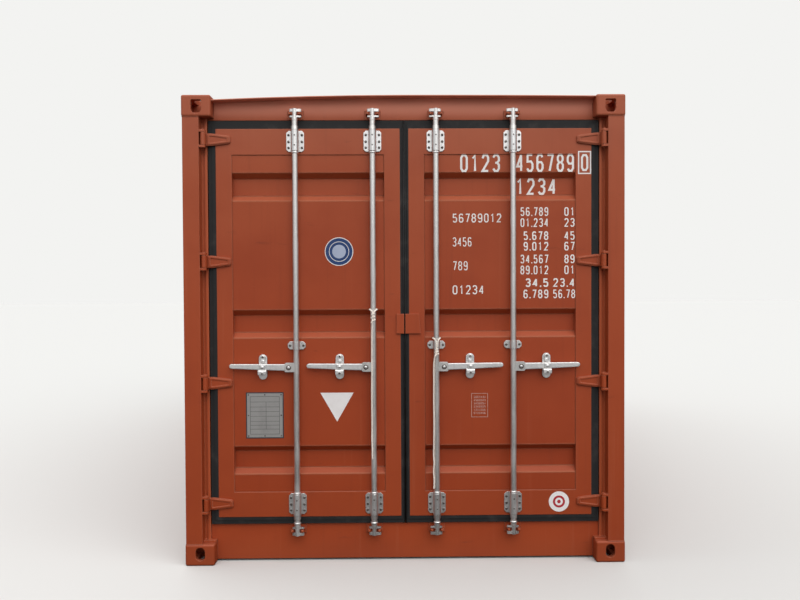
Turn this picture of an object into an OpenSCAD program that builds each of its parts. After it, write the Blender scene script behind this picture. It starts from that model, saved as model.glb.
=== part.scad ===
// Twenty foot steel freight container with two cargo doors and four lock rods.
// Millimetres. X runs across, Y along the body, Z up; the doors are at the -Y end.
// A depth is measured inwards from the plane of the corner castings at that end.

/* [Body] */
// outside length over the corner castings
body_l = 6058; // [5000:1:7000]
// outside width over the corner castings
body_w = 2438; // [2300:1:2600]
// outside height over the corner castings
body_h = 2591; // [2400:1:2900]
// how far walls, posts and rails stay behind the faces of the castings
face_gap = 5; // [3:1:10]
// how far the side walls and rails stay behind the posts' outer faces
wall_set = 2; // [1:0.5:4]
// how far the flat of the roof lies below the tops of the castings
roof_drop = 24; // [22:1:30]

/* [Corner castings] */
// length along the body
casting_l = 178; // [160:1:200]
// width across the body
casting_w = 162; // [150:1:180]
// height
casting_h = 118; // [110:1:130]
// wall thickness
casting_t = 26; // [20:1:30]
// half the width of the top and bottom slots
slot_r = 31.75; // [28:0.25:34]
// end-to-end length of the top and bottom slots
slot_l = 124; // [110:1:130]
// slot centre from the end face
slot_in_y = 102.5; // [95:0.5:110]
// slot centre from the side face
slot_in_x = 89.5; // [80:0.5:95]
// centres of the end and side holes from the top or bottom face
hole_in_z = 65; // [60:1:68]
// centre of an end hole from the side face
hole_in_x = 83; // [76:1:88]
// half the width of an upper end hole
shield_r = 29.5; // [26:0.5:31]
// height of an upper end hole
shield_h = 77; // [70:1:80]
// half the width of a side hole and of a lower end hole
hole_r = 26; // [22:0.5:28]
// height of a lower end hole and length of a side hole
hole_l = 75; // [68:1:79]

/* [Posts and rails] */
// width of a door post, from its outer face to the door opening
post_w = 124; // [110:1:135]
// how far the raised strip beside the opening lies behind the leaves' face
ridge_gap = 6; // [5:1:10]
// width of the raised strip
ridge_w = 15; // [10:1:20]
// step from the raised strip back to the recess beside it
recess_step = 12; // [6:1:20]
// step from that recess back to the faces of the header and the sill
web_step = 6; // [2:1:12]
// plate thickness of posts, header and sill
post_t = 6; // [4:0.5:8]
// height of the ledge at the foot of a door post
ledge_h = 10; // [8:1:16]
// depth of the ledge's front edge
ledge_d = 40; // [20:1:60]
// top of the door sill
sill_top = 209; // [200:1:225]
// height of the header with its lip
header_h = 126; // [110:1:150]
// how far the header and sill boxes reach past the castings
box_past = 12; // [5:1:30]
// depth of the header lip's front edge
lip_d = 14; // [10:1:40]
// thickness of the header lip
lip_t = 5; // [3:0.5:8]
// how far the lip's middle lies below the tops of the castings
lip_under = 1; // [1:0.5:8]
// drop of the bent lip at its left end
lip_drop_left = 23; // [0:1:30]
// drop of the bent lip at its right end
lip_drop_right = 5; // [0:1:30]
// width across of a top side rail
top_rail_w = 60; // [50:1:70]
// height of a top side rail
top_rail_h = 60; // [50:1:70]
// wall of a top side rail
top_rail_t = 4; // [3:0.5:5]
// lowest edge of rails, sill and cross members above the ground
under_gap = 12; // [10:1:20]
// plate thickness of the bottom side rails
bottom_rail_t = 4.5; // [4:0.5:6]
// flange width of the bottom side rails
bottom_flange_w = 38; // [38:1:48]

/* [Walls] */
// sheet thickness of walls, roof and door panels
sheet_t = 2; // [1.6:0.1:3]
// depth of the side wall corrugations
side_wave_d = 36; // [25:1:38]
// pitch of the side wall corrugations
side_pitch = 278; // [220:1:320]
// flat width of a side wall crest
side_flat = 72; // [50:1:90]
// depth of the end wall corrugations
end_wave_d = 46; // [35:1:50]
// pitch of the end wall corrugations
end_pitch = 250; // [220:1:300]
// flat width of an end wall crest
end_flat = 110; // [90:1:120]
// height of the ribs pressed into the roof
rib_h = 16; // [10:1:18]
// pitch of the roof ribs
rib_pitch = 209; // [180:1:240]
// thickness of the roof corner plates
corner_plate_t = 3; // [2:0.5:4]

/* [Floor] */
// step from the sill's top down to the floor boards
sill_step = 4; // [2:1:8]
// thickness of the floor boards
floor_t = 28; // [24:1:30]
// joint between floor boards and beside the walls
floor_joint = 3; // [2:0.5:6]
// height of a cross member
cross_h = 122; // [100:1:130]
// flange width of a cross member
cross_w = 45; // [40:1:60]
// plate thickness of a cross member
cross_t = 4; // [3:0.5:6]
// spacing of the outer cross members
cross_pitch = 280; // [260:1:300]
// clear width of a fork pocket
pocket_w = 360; // [340:1:380]
// clear height of a fork pocket
pocket_h = 112; // [105:1:114]
// plate thickness of a fork pocket
pocket_t = 5; // [4:0.5:6]
// distance between the centres of the inner pair of fork pockets
inner_pockets = 900; // [880:1:960]
// distance between the centres of the outer pair of fork pockets
outer_pockets = 2050; // [2000:1:2100]

/* [Door leaves] */
// depth of the front face of a leaf
leaf_d = 58; // [56:1:58]
// thickness of the leaf frame
leaf_t = 50; // [40:1:60]
// gap between the side of the opening and a leaf
leaf_side_gap = 47; // [40:1:55]
// gap between the sill and a leaf
leaf_foot_gap = 45; // [38:1:52]
// gap between the header and a leaf
leaf_head_gap = 51; // [42:1:58]
// meeting edge of a leaf from the middle of the body
meeting_x = 24; // [20:1:30]
// width of the upright stiles
stile_w = 87; // [70:1:90]
// height of the bottom member
foot_member_h = 139; // [110:1:150]
// height of the top member
head_member_h = 143; // [120:1:165]
// how far the pressed panel is set back behind the leaf's face
panel_in = 4; // [2:0.5:8]
// wall thickness of the leaf frame
leaf_wall = 4; // [3:0.5:5]
// middle of the lowest pressed trough above the panel's foot
trough_foot = 179; // [160:1:200]
// middle of the highest pressed trough below the panel's head
trough_head = 177; // [150:1:200]
// height of a pressed trough
trough_h = 156; // [120:1:165]
// depth of a pressed trough
trough_d = 34; // [25:1:38]
// height of a trough's slope
trough_slope = 30; // [20:1:36]
// gap between a gasket's lip and the opening
seal_gap = 5; // [5:0.5:6]
// half the gap between the two gaskets
seal_meet = 3.5; // [3:0.5:6]
// height of the meeting plate's lower edge above the leaf's foot
plate_up = 1022; // [900:1:1100]
// height of the meeting plate
plate_h = 110; // [80:1:140]
// thickness of the meeting plate
plate_t = 10; // [6:1:14]
// reach of the meeting plate onto the right leaf
plate_right = 64; // [50:1:80]
// reach of the stop onto the left leaf
plate_left = 22; // [15:1:40]

/* [Hinges] */
// height of the lowest hinge above the leaf's foot
hinge_foot = 78; // [65:1:90]
// distance of the highest hinge below the leaf's head
hinge_head = 60; // [50:1:75]
// distance of the hinge pin outside the door opening
pin_side = 14; // [13:1:15]
// distance of the hinge pin in front of the leaf's face
pin_front = 38; // [37:1:39]
// radius of the hinge pin
pin_r = 8; // [6:0.5:9]
// outside radius of the knuckle
knuckle_r = 14; // [13:0.5:14]
// space between a knuckle and the post's outer box
knuckle_gap = 6; // [5:0.5:8]
// height of the knuckle and of the blade's root
knuckle_h = 68; // [60:1:70]
// thickness of a hinge ear
ear_t = 13; // [10:1:15]
// play between the knuckle and an ear
ear_play = 1.5; // [1:0.5:3]
// thickness of the hinge blade
blade_t = 10; // [8:1:10]
// reach of the blade's tip from the pin
blade_l = 143; // [120:1:150]

/* [Lock rods] */
// distance of an outer rod from the leaf's outer edge
outer_rod_in = 441; // [420:1:460]
// distance of an inner rod from the leaf's meeting edge
inner_rod_in = 151; // [140:1:165]
// distance of the rods' axes in front of the leaves' face
rod_front = 27; // [26.5:0.5:28]
// outside radius of a rod
rod_r = 16; // [14:0.5:17]
// wall thickness of a rod
rod_wall = 3.5; // [2.5:0.5:5]
// running play between a rod and a guide
rod_play = 0.6; // [0.3:0.1:1]
// middle of the upper guides below the leaf's head
guide_head = 70; // [64:1:80]
// middle of the lower guides above the leaf's foot
guide_foot = 74; // [64:1:84]
// middle of the small guides above the handles
mid_guide_up = 120; // [100:1:140]
// height of the upper and lower guides
guide_h = 116; // [100:1:124]
// width of the upper and lower guides
guide_w = 98; // [90:1:110]
// plate thickness of a guide's flange
guide_t = 6; // [4:1:8]
// wall of a guide's sleeve
sleeve_t = 5; // [4:0.5:6]
// height of a small guide
mid_guide_h = 44; // [36:1:50]
// width of a small guide
mid_guide_w = 98; // [80:1:100]
// height of the collars beside the guides
collar_h = 21; // [12:1:28]
// height of the small rings on a rod
ring_h = 10; // [6:1:14]
// gap between a guide and the collars beside it
collar_gap = 2; // [1:0.5:4]
// how far a cam's root starts within the door opening
cam_in = 11; // [4:1:14]
// height of a cam
cam_h = 65; // [60:1:66]
// reach of a cam's wings on the handle's side
cam_near = 29; // [25:1:32]
// reach of a cam's wings on the other side
cam_far = 38; // [30:1:38]
// height of a cam's root
root_h = 17; // [14:1:20]
// thickness of a cam's wing
wing_t = 9; // [7:1:11]
// space between the two pairs of wings
wing_gap = 21.5; // [19:0.5:24]
// half the height of a keeper's plate
keeper_h = 25; // [20:1:25]
// space between a keeper's prong and a cam
keeper_gap = 5.5; // [5:0.5:6]

/* [Handles] */
// height of the handles' pins above the leaf's foot
handle_up = 839; // [800:1:880]
// distance of a handle's pin from its rod
handle_pin = 42; // [40:1:44]
// distance from a handle's tip to the next rod's axis
handle_end_gap = 57; // [45:1:70]
// thickness of a handle
handle_t = 14; // [12:1:16]
// height of a handle at its root
handle_root_h = 36; // [30:1:38]
// height of a handle at its tip
handle_tip_h = 25; // [20:1:26]
// height of a handle over its catch
handle_mid_h = 30; // [26:1:32]
// rise of a handle's tip above its pin
handle_rise = 8; // [0:1:12]
// height of the hub beside a rod
hub_h = 50; // [50:1:58]
// thickness of a hub's cheek
cheek_t = 5; // [4:0.5:6]
// play between a handle and a cheek
cheek_play = 1; // [0.5:0.5:1.5]
// distance of a handle's catch from the handle's tip
catch_in = 182; // [170:1:200]
// width of a catch plate
catch_w = 46; // [44:1:56]
// height of a catch plate
catch_h = 140; // [130:1:145]
// top of a catch above its handle's pin
catch_up = 71; // [66:1:76]
// thickness of a catch plate
catch_t = 5; // [4:1:6]

/* [Ropes] */
// diameter of the two tie ropes
rope_dia = 8; // [6:0.5:8]

/* [Hidden] */
$fn = 48;

half_l = body_l / 2;
half_w = body_w / 2;
eps = 1;

// outer plane of the posts, and the door opening inside them
side_x = half_w - face_gap;
opening_x = side_x - post_w;
header_bottom = body_h - header_h;
casting_x = half_w - casting_w;
end_box_d = casting_l + box_past;

// steps of the door end behind the leaves' face
ridge_d = leaf_d + ridge_gap;
recess_d = ridge_d + recess_step;
web_d = recess_d + web_step;

// bottom frame levels
floor_top = sill_top - sill_step;
floor_z = floor_top - floor_t;
// a side wall stands between its inner face and the outer plane of the body
wall_out_x = side_x - wall_set;
wall_in_x = wall_out_x - side_wave_d - sheet_t;
rail_top_z = body_h - roof_drop;
wall_top_z = rail_top_z - top_rail_h;
header_top_z = body_h - lip_under;
end_rail_d = face_gap + end_wave_d + sheet_t + 10;

// leaf edges
leaf_x = opening_x - leaf_side_gap;
leaf_z0 = sill_top + leaf_foot_gap;
leaf_z1 = header_bottom - leaf_head_gap;

// leaf seats
panel_x0 = meeting_x + stile_w;
panel_x1 = leaf_x - stile_w;
panel_z0 = leaf_z0 + foot_member_h;
panel_z1 = leaf_z1 - head_member_h;
trough_pitch = (panel_z1 - trough_head - panel_z0 - trough_foot) / 2;
seal_x0 = seal_meet;
seal_x1 = opening_x - seal_gap;
seal_z0 = sill_top + seal_gap;
seal_z1 = header_bottom - seal_gap;

// hinges
pin_x = opening_x + pin_side;
pin_d = leaf_d - pin_front;
post_x = pin_x + knuckle_r + knuckle_gap;
hinge_pitch = (leaf_z1 - hinge_head - leaf_z0 - hinge_foot) / 3;
hinge_zs = [for (i = [0 : 3]) leaf_z0 + hinge_foot + i * hinge_pitch];

// lock gear
rod_outer_x = leaf_x - outer_rod_in;
rod_inner_x = meeting_x + inner_rod_in;
rods = [-rod_outer_x, -rod_inner_x, rod_inner_x, rod_outer_x];
rod_d = leaf_d - rod_front;
rod_bore_r = rod_r - rod_wall;
sleeve_bore = rod_r + rod_play;
sleeve_r = sleeve_bore + sleeve_t;
handle_z = leaf_z0 + handle_up;
handle_l = rod_outer_x - rod_inner_x - handle_end_gap;
catch_x = handle_l - catch_in;
guide_top_z = leaf_z1 - guide_head;
guide_low_z = leaf_z0 + guide_foot;
guide_mid_z = handle_z + mid_guide_up;
cam_z = header_bottom - cam_in;
low_cam_z = sill_top + cam_in;
plate_z = leaf_z0 + plate_up;

dark = [0.56, 0.28, 0.2];
paint = [0.58, 0.3, 0.21];
zinc = [0.75, 0.73, 0.71];
rubber = [0.12, 0.12, 0.12];

// a box between two corners
module block(a, b) {
    translate(a)
        cube(b - a);
}

// the same thing on both sides of the body
module both_sides() {
    children();
    mirror([1, 0, 0])
        children();
}

// what is drawn with its depth measured from the door end
module door_end() {
    translate([0, -half_l, 0])
        children();
}

// what is drawn with its depth measured from the blind end
module blind_end() {
    translate([0, half_l, 0])
        mirror([0, 1, 0])
            children();
}

// a bar along X whose section is drawn as [depth, height] points
module bar_x(points, x0, x1) {
    translate([x0, 0, 0])
        rotate([90, 0, 90])
            linear_extrude(x1 - x0)
                polygon(points);
}

// a slot that runs along the second axis of its plane
module slot_outline(r, length) {
    for (s = [-1, 1])
        translate([0, s * (length / 2 - r)])
            circle(r);
    square([2 * r, length - 2 * r], center = true);
}

// end hole of an upper casting: a flat top and a round foot
module shield_outline() {
    foot = shield_r - shield_h / 2;
    translate([0, foot])
        circle(shield_r);
    offset(r = 8)
        block2([8 - shield_r, foot + 8], [shield_r - 8, shield_h / 2 - 8]);
    block2([-shield_r, foot], [shield_r, foot + 12]);
}

// one corner casting at the origin of its outer corner, reaching to -X, +Y and +Z
module casting(upper) {
    hole_z = casting_h - hole_in_z;
    difference() {
        linear_extrude(casting_h)
            translate([-casting_w, 0])
                offset(r = 12)
                    translate([12, 12])
                        square([casting_w - 24, casting_l - 24]);
        block([casting_t - casting_w, casting_t, casting_t],
              [-casting_t, casting_l - casting_t, casting_h - casting_t]);
        // slot in the top or bottom wall
        translate([-slot_in_x, slot_in_y, casting_h - casting_t - eps])
            linear_extrude(casting_t + 2 * eps)
                slot_outline(slot_r, slot_l);
        // opening in the end wall
        translate([-hole_in_x, casting_t + eps, hole_z])
            rotate([90, 0, 0])
                linear_extrude(casting_t + 2 * eps)
                    if (upper)
                        shield_outline();
                    else
                        slot_outline(hole_r, hole_l);
        // opening in the side wall
        translate([-casting_t - eps, casting_l / 2, hole_z])
            rotate([90, 0, 90])
                linear_extrude(casting_t + 2 * eps)
                    rotate(90)
                        slot_outline(hole_r, hole_l);
    }
}

module top_corner_castings() {
    color(dark)
        both_sides() {
            translate([half_w, -half_l, body_h - casting_h])
                casting(true);
            blind_end()
                translate([half_w, 0, body_h - casting_h])
                    casting(true);
        }
}

module bottom_corner_castings() {
    color(dark)
        both_sides() {
            translate([half_w, -half_l, casting_h])
                bottom_casting();
            blind_end()
                translate([half_w, 0, casting_h])
                    bottom_casting();
        }
}

// a casting with its slot facing down
module bottom_casting() {
    mirror([0, 0, 1])
        casting(false);
}

module door_posts() {
    color(paint)
        both_sides()
            door_end() {
                translate([0, 0, casting_h])
                    linear_extrude(body_h - 2 * casting_h)
                        difference() {
                            door_post_outline();
                            offset(delta = -post_t)
                                door_post_outline();
                        }
                // ledge on the casting at the foot of the post
                block([casting_x, ledge_d, casting_h], [post_x + 1, recess_d + 1, casting_h + ledge_h]);
            }
}

// outline of a door post: outer box, recess and the raised strip by the opening
module door_post_outline() {
    polygon([
        [side_x, face_gap], [post_x, face_gap],
        [post_x, recess_d], [opening_x + ridge_w, recess_d],
        [opening_x + ridge_w, ridge_d], [opening_x, ridge_d],
        [opening_x, casting_l], [side_x, casting_l]
    ]);
}

module front_posts() {
    color(paint)
        both_sides()
            blind_end()
                translate([0, 0, casting_h])
                    linear_extrude(body_h - 2 * casting_h)
                        difference() {
                            front_post_outline();
                            offset(delta = -post_t)
                                front_post_outline();
                        }
}

// outline of a blind end post, chamfered on the inside
module front_post_outline() {
    polygon([
        [side_x, face_gap], [casting_x, face_gap],
        [casting_x, end_rail_d], [wall_in_x - 12, casting_l - 30],
        [wall_in_x - 12, casting_l], [side_x, casting_l]
    ]);
}

// ear of a hinge: a plate welded to the post and rounded about the pin
module ear() {
    linear_extrude(ear_t)
        difference() {
            union() {
                translate([pin_x, pin_d])
                    circle(knuckle_r);
                block2([pin_x, pin_d - knuckle_r], [post_x, pin_d + knuckle_r]);
            }
            translate([pin_x, pin_d])
                circle(pin_r);
        }
}

// a rectangle between two corners
module block2(a, b) {
    translate(a)
        square(b - a);
}

module hinge_ears() {
    gap = knuckle_h / 2 + ear_play;
    color(paint)
        both_sides()
            door_end()
                for (z = hinge_zs, s = [gap, -gap - ear_t])
                    translate([0, 0, z + s])
                        ear();
}

module hinge_pins() {
    reach = knuckle_h / 2 + ear_play + ear_t;
    color(paint)
        both_sides()
            door_end()
                for (z = hinge_zs)
                    translate([pin_x, pin_d, z - reach]) {
                        cylinder(r = pin_r, h = 2 * reach);
                        translate([0, 0, 2 * reach])
                            cylinder(r = pin_r + 3, h = 4);
                    }
}

// what is drawn in the plane of the door end, between two depths
module across(d0, d1) {
    translate([0, d1, 0])
        rotate([90, 0, 0])
            linear_extrude(d1 - d0)
                children();
}

// top line of the header from left to right, drawn down by a wall; it is bent by use
function top_line(t) = [
    for (u = [-1 : 0.25 : 1])
        [u * casting_x, header_top_z - t - (u < 0 ? lip_drop_left : lip_drop_right) * u * u]
];

module door_header() {
    shoulder = max(header_bottom, body_h - casting_h);
    hollow_z = max(header_bottom + post_t, body_h - casting_h);
    lip = top_line(lip_t);
    color(paint)
        door_end() {
            difference() {
                across(web_d, end_box_d)
                    polygon(concat(top_line(0), [
                        [casting_x, shoulder], [opening_x, shoulder], [opening_x, header_bottom],
                        [-opening_x, header_bottom], [-opening_x, shoulder], [-casting_x, shoulder]
                    ]));
                across(web_d + post_t, end_box_d - post_t)
                    polygon(concat(
                        [[-casting_x - eps, hollow_z],
                         [-casting_x - eps, header_top_z - post_t - lip_drop_left]],
                        top_line(post_t),
                        [[casting_x + eps, header_top_z - post_t - lip_drop_right],
                         [casting_x + eps, hollow_z]]
                    ));
            }
            // thin lip that overhangs the cams
            across(lip_d, web_d + eps)
                polygon(concat(top_line(0), [for (i = [len(lip) - 1 : -1 : 0]) lip[i]]));
        }
}

module door_sill() {
    color(dark)
        door_end()
            difference() {
                union() {
                    block([-casting_x, web_d, under_gap], [casting_x, end_box_d, sill_top]);
                    block([-opening_x, web_d, casting_h], [opening_x, end_box_d, sill_top]);
                }
                // the sill is a channel open towards the floor
                block([-casting_x, web_d + post_t, under_gap + post_t],
                      [casting_x, end_box_d + eps, sill_top - post_t]);
            }
}

// keeper: a plate on the recessed face with a prong on each side of the cam's stem
module keeper(x, z) {
    prong_h = wing_gap - 2 * keeper_gap;
    translate([x, 0, z]) {
        block([-44, web_d - 6, -keeper_h], [44, web_d, keeper_h]);
        for (s = [-1, 1])
            translate([s * (rod_r + keeper_gap + 7), 0, -prong_h / 2])
                linear_extrude(prong_h)
                    polygon([[-7, web_d - 6], [-7, 17], [-3, 12], [3, 12], [7, 17], [7, web_d - 6]]);
    }
}

module cam_keepers() {
    color(paint)
        door_end()
            for (x = rods) {
                keeper(x, cam_z + prong_level());
                keeper(x, low_cam_z - prong_level());
            }
}

// height of the middle of a keeper's prong from the cam's root
function prong_level() = root_h + wing_t + wing_gap / 2;

module front_top_rail() {
    color(paint)
        blind_end()
            difference() {
                block([-casting_x, face_gap, wall_top_z], [casting_x, end_rail_d, rail_top_z]);
                block([-casting_x - eps, face_gap + 4, wall_top_z + 4],
                      [casting_x + eps, end_rail_d - 4, rail_top_z - 4]);
            }
}

module front_bottom_rail() {
    color(paint)
        blind_end()
            difference() {
                block([-casting_x, face_gap, under_gap], [casting_x, end_rail_d, floor_z]);
                block([-casting_x - eps, face_gap + 5, under_gap + 5],
                      [casting_x + eps, end_rail_d - 5, floor_z - 5]);
            }
}

module top_side_rails() {
    run = half_l - casting_l;
    color(paint)
        both_sides()
            difference() {
                block([wall_out_x - top_rail_w, -run, wall_top_z], [wall_out_x, run, rail_top_z]);
                block([wall_out_x - top_rail_w + top_rail_t, -run - eps, wall_top_z + top_rail_t],
                      [wall_out_x - top_rail_t, run + eps, rail_top_z - top_rail_t]);
            }
}

// centres of the fork pockets along the body
pocket_ys = [-outer_pockets / 2, -inner_pockets / 2, inner_pockets / 2, outer_pockets / 2];
pocket_z0 = under_gap + bottom_rail_t + pocket_t;

module bottom_side_rails() {
    run = half_l - casting_l;
    color(paint)
        both_sides()
            difference() {
                block([wall_out_x - bottom_flange_w, -run, under_gap], [wall_out_x, run, floor_z]);
                block([wall_out_x - bottom_flange_w - eps, -run - eps, under_gap + bottom_rail_t],
                      [wall_out_x - bottom_rail_t, run + eps, floor_z - bottom_rail_t]);
                for (y = pocket_ys)
                    translate([wall_out_x, y, pocket_z0 + pocket_h / 2])
                        rotate([90, 0, 90])
                            translate([0, 0, -20])
                                linear_extrude(40)
                                    square([pocket_w, pocket_h], center = true);
            }
}

// cross member at the origin, from side to side, with its upper ends notched under the rails
module cross_member(y) {
    web_x = wall_out_x - bottom_rail_t;
    flange_x = wall_out_x - bottom_flange_w;
    translate([0, y, 0])
        difference() {
            block([-web_x, -cross_w / 2, floor_z - cross_h], [web_x, cross_w / 2, floor_z]);
            block([-web_x - eps, -cross_w / 2 + cross_t, floor_z - cross_h + cross_t],
                  [web_x + eps, cross_w, floor_z - cross_t]);
            both_sides()
                block([flange_x, -cross_w, floor_z - bottom_rail_t],
                      [web_x + eps, cross_w, floor_z + eps]);
        }
}

// the outer cross members start clear of the outer pockets
cross_start = outer_pockets / 2 + pocket_w / 2 + pocket_t + 90;
cross_count = floor((half_l - end_box_d - 40 - cross_start) / cross_pitch);

module cross_members() {
    color(dark) {
        cross_member(0);
        for (s = [-1, 1]) {
            cross_member(s * (inner_pockets + outer_pockets) / 4);
            for (i = [0 : cross_count])
                cross_member(s * (cross_start + i * cross_pitch));
        }
    }
}

// tunnel for a fork, open below between its two end straps
module fork_pocket(y) {
    web_x = wall_out_x - bottom_rail_t;
    half = pocket_w / 2;
    translate([0, y, pocket_z0])
        difference() {
            block([-web_x, -half - pocket_t, -pocket_t], [web_x, half + pocket_t, pocket_h + pocket_t]);
            block([-web_x - eps, -half, 0], [web_x + eps, half, pocket_h]);
            block([-web_x + 250, -half, -pocket_t - eps], [web_x - 250, half, eps]);
        }
}

module fork_pockets() {
    color(dark)
        for (y = pocket_ys)
            fork_pocket(y);
}

module floor_boards() {
    y0 = -half_l + end_box_d + floor_joint;
    y1 = half_l - end_rail_d - floor_joint;
    half = wall_in_x - floor_joint;
    sheet_l = (y1 - y0 - 4 * floor_joint) / 5;
    color([0.45, 0.3, 0.2])
        difference() {
            for (i = [0 : 4], s = [0, 1])
                mirror([s, 0, 0])
                    translate([floor_joint / 2, y0 + i * (sheet_l + floor_joint), floor_z])
                        cube([half - floor_joint / 2, sheet_l, floor_t]);
            // the last boards are notched around the blind end posts
            both_sides()
                blind_end()
                    translate([0, 0, floor_z - eps])
                        linear_extrude(floor_t + 2 * eps)
                            offset(delta = floor_joint)
                                front_post_outline();
        }
}

module threshold_plate() {
    color(dark)
        door_end()
            block([-opening_x + 8, leaf_d + leaf_t + 8, sill_top],
                  [opening_x - 8, end_box_d + 60, sill_top + 4]);
}

// unit vector to the left of a step between two points
function left_of(a, b) = [a[1] - b[1], b[0] - a[0]] / norm(b - a);

// a line of points moved to its left by a sheet's thickness
function beside(line, t) = [
    for (i = [0 : len(line) - 1])
        let (
            n = left_of(line[max(i - 1, 0)], line[max(i, 1)]),
            m = left_of(line[min(i, len(line) - 2)], line[min(i + 1, len(line) - 1)])
        )
        line[i] + t * (n + m) / (1 + n * m)
];

// outline of a bent sheet that lies to the left of a line
module sheet_outline(line, t) {
    inner = beside(line, t);
    polygon(concat(line, [for (i = [len(line) - 1 : -1 : 0]) inner[i]]));
}

// points of a corrugated sheet along its length, outer line first
function wave(count, pitch, flat, deep, start) = [
    for (i = [0 : count - 1]) each [
        [start + i * pitch + flat / 2, 0],
        [start + i * pitch + pitch / 2 - flat / 2, deep],
        [start + i * pitch + pitch / 2 + flat / 2, deep],
        [start + (i + 1) * pitch - flat / 2, 0]
    ]
];

// a corrugated sheet outline from -run to run, deepening along the second axis
module wave_outline(run, pitch, flat, deep) {
    count = floor(2 * (run - flat / 2) / pitch);
    line = concat([[-run, 0]], wave(count, pitch, flat, deep, -count * pitch / 2), [[run, 0]]);
    sheet_outline(line, sheet_t);
}

module side_wall() {
    translate([wall_out_x, 0, floor_z])
        rotate(90)
            linear_extrude(wall_top_z - floor_z)
                wave_outline(half_l - casting_l, side_pitch, side_flat, side_wave_d);
}

module right_side_wall() {
    color(paint)
        side_wall();
}

module left_side_wall() {
    color(paint)
        mirror([1, 0, 0])
            side_wall();
}

module end_wall() {
    color(paint)
        blind_end()
            translate([0, face_gap + 3, floor_z])
                linear_extrude(wall_top_z - floor_z)
                    wave_outline(casting_x, end_pitch, end_flat, end_wave_d);
}

// ribs of the roof, drawn up from a level and lowered by a wall
rib_y0 = -half_l + end_box_d + 230;
rib_count = floor((body_l - end_box_d - end_rail_d - 420) / rib_pitch);

module roof_ribs(t, z) {
    top = rib_h + sheet_t - t;
    foot = 45 - t;
    crest = 22 - t / 2;
    line = [
        for (i = [0 : rib_count - 1]) each [
            [rib_y0 + i * rib_pitch - foot, 0], [rib_y0 + i * rib_pitch - crest, top],
            [rib_y0 + i * rib_pitch + crest, top], [rib_y0 + i * rib_pitch + foot, 0]
        ]
    ];
    reach = wall_out_x - top_rail_w - 10 - t;
    translate([0, 0, z])
        intersection() {
            bar_x(concat([[rib_y0 - 60, -6], [rib_y0 - 60, 0]], line,
                [[rib_y0 + rib_count * rib_pitch, 0], [rib_y0 + rib_count * rib_pitch, -6]]),
                -reach, reach);
            translate([0, rib_y0 - 100, 0])
                rotate([90, 0, 180])
                    linear_extrude(rib_count * rib_pitch + 200)
                        polygon([
                            [-reach, 0], [-reach + 30, top + 1], [reach - 30, top + 1], [reach, 0]
                        ]);
        }
}

module roof_panel() {
    color(paint)
        difference() {
            union() {
                block([-wall_out_x + 4, -half_l + end_box_d, rail_top_z],
                      [wall_out_x - 4, half_l - casting_l, rail_top_z + sheet_t]);
                block([-casting_x + 2, half_l - casting_l - eps, rail_top_z],
                      [casting_x - 2, half_l - face_gap - 3, rail_top_z + sheet_t]);
                roof_ribs(0, rail_top_z);
            }
            roof_ribs(sheet_t, rail_top_z - 0.01);
        }
}

module roof_corner_plates() {
    z = rail_top_z + sheet_t;
    color(paint)
        both_sides() {
            door_end()
                block([side_x - 320, end_box_d, z], [side_x - 6, end_box_d + 170, z + corner_plate_t]);
            blind_end()
                block([side_x - 320, casting_l, z], [side_x - 6, casting_l + 120, z + corner_plate_t]);
        }
}

// frame of a leaf: tube stiles open at their ends and channel members open inwards
module leaf_frame() {
    difference() {
        block([meeting_x, leaf_d, leaf_z0], [leaf_x, leaf_d + leaf_t, leaf_z1]);
        block([panel_x0, leaf_d - eps, panel_z0], [panel_x1, leaf_d + leaf_t + eps, panel_z1]);
        for (x = [meeting_x, leaf_x - stile_w])
            block([x + leaf_wall, leaf_d + leaf_wall, leaf_z0 - eps],
                  [x + stile_w - leaf_wall, leaf_d + leaf_t - leaf_wall, leaf_z1 + eps]);
        for (z = [[leaf_z0, panel_z0], [panel_z1, leaf_z1]])
            block([panel_x0, leaf_d + leaf_wall, z[0] + leaf_wall],
                  [panel_x1, leaf_d + leaf_t + eps, z[1] - leaf_wall]);
    }
}

// panel of a leaf, pressed inwards into three level troughs
module leaf_panel() {
    half = trough_h / 2;
    face = leaf_d + panel_in;
    zs = [for (i = [0 : 2]) panel_z0 + trough_foot + i * trough_pitch];
    line = concat(
        [[face, panel_z1]],
        [for (i = [2 : -1 : 0]) each [
            [face, zs[i] + half], [face + trough_d, zs[i] + half - trough_slope],
            [face + trough_d, zs[i] - half + trough_slope], [face, zs[i] - half]
        ]],
        [[face, panel_z0]]
    );
    translate([panel_x0, 0, 0])
        rotate([90, 0, 90])
            linear_extrude(panel_x1 - panel_x0)
                sheet_outline(line, sheet_t);
}

// ring around a leaf between two depths, reaching out to the given edges
module seal_ring(d0, d1, x0, x1, z0, z1) {
    difference() {
        block([x0, d0, z0], [x1, d1, z1]);
        block([meeting_x, d0 - eps, leaf_z0], [leaf_x, d1 + eps, leaf_z1]);
    }
}

module leaf_gasket() {
    seal_ring(leaf_d + 2, leaf_d + leaf_t - 4, meeting_x - 9, leaf_x + 20, leaf_z0 - 18, leaf_z1 + 20);
    seal_ring(leaf_d + 8, leaf_d + 28, seal_x0, seal_x1, seal_z0, seal_z1);
}

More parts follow.
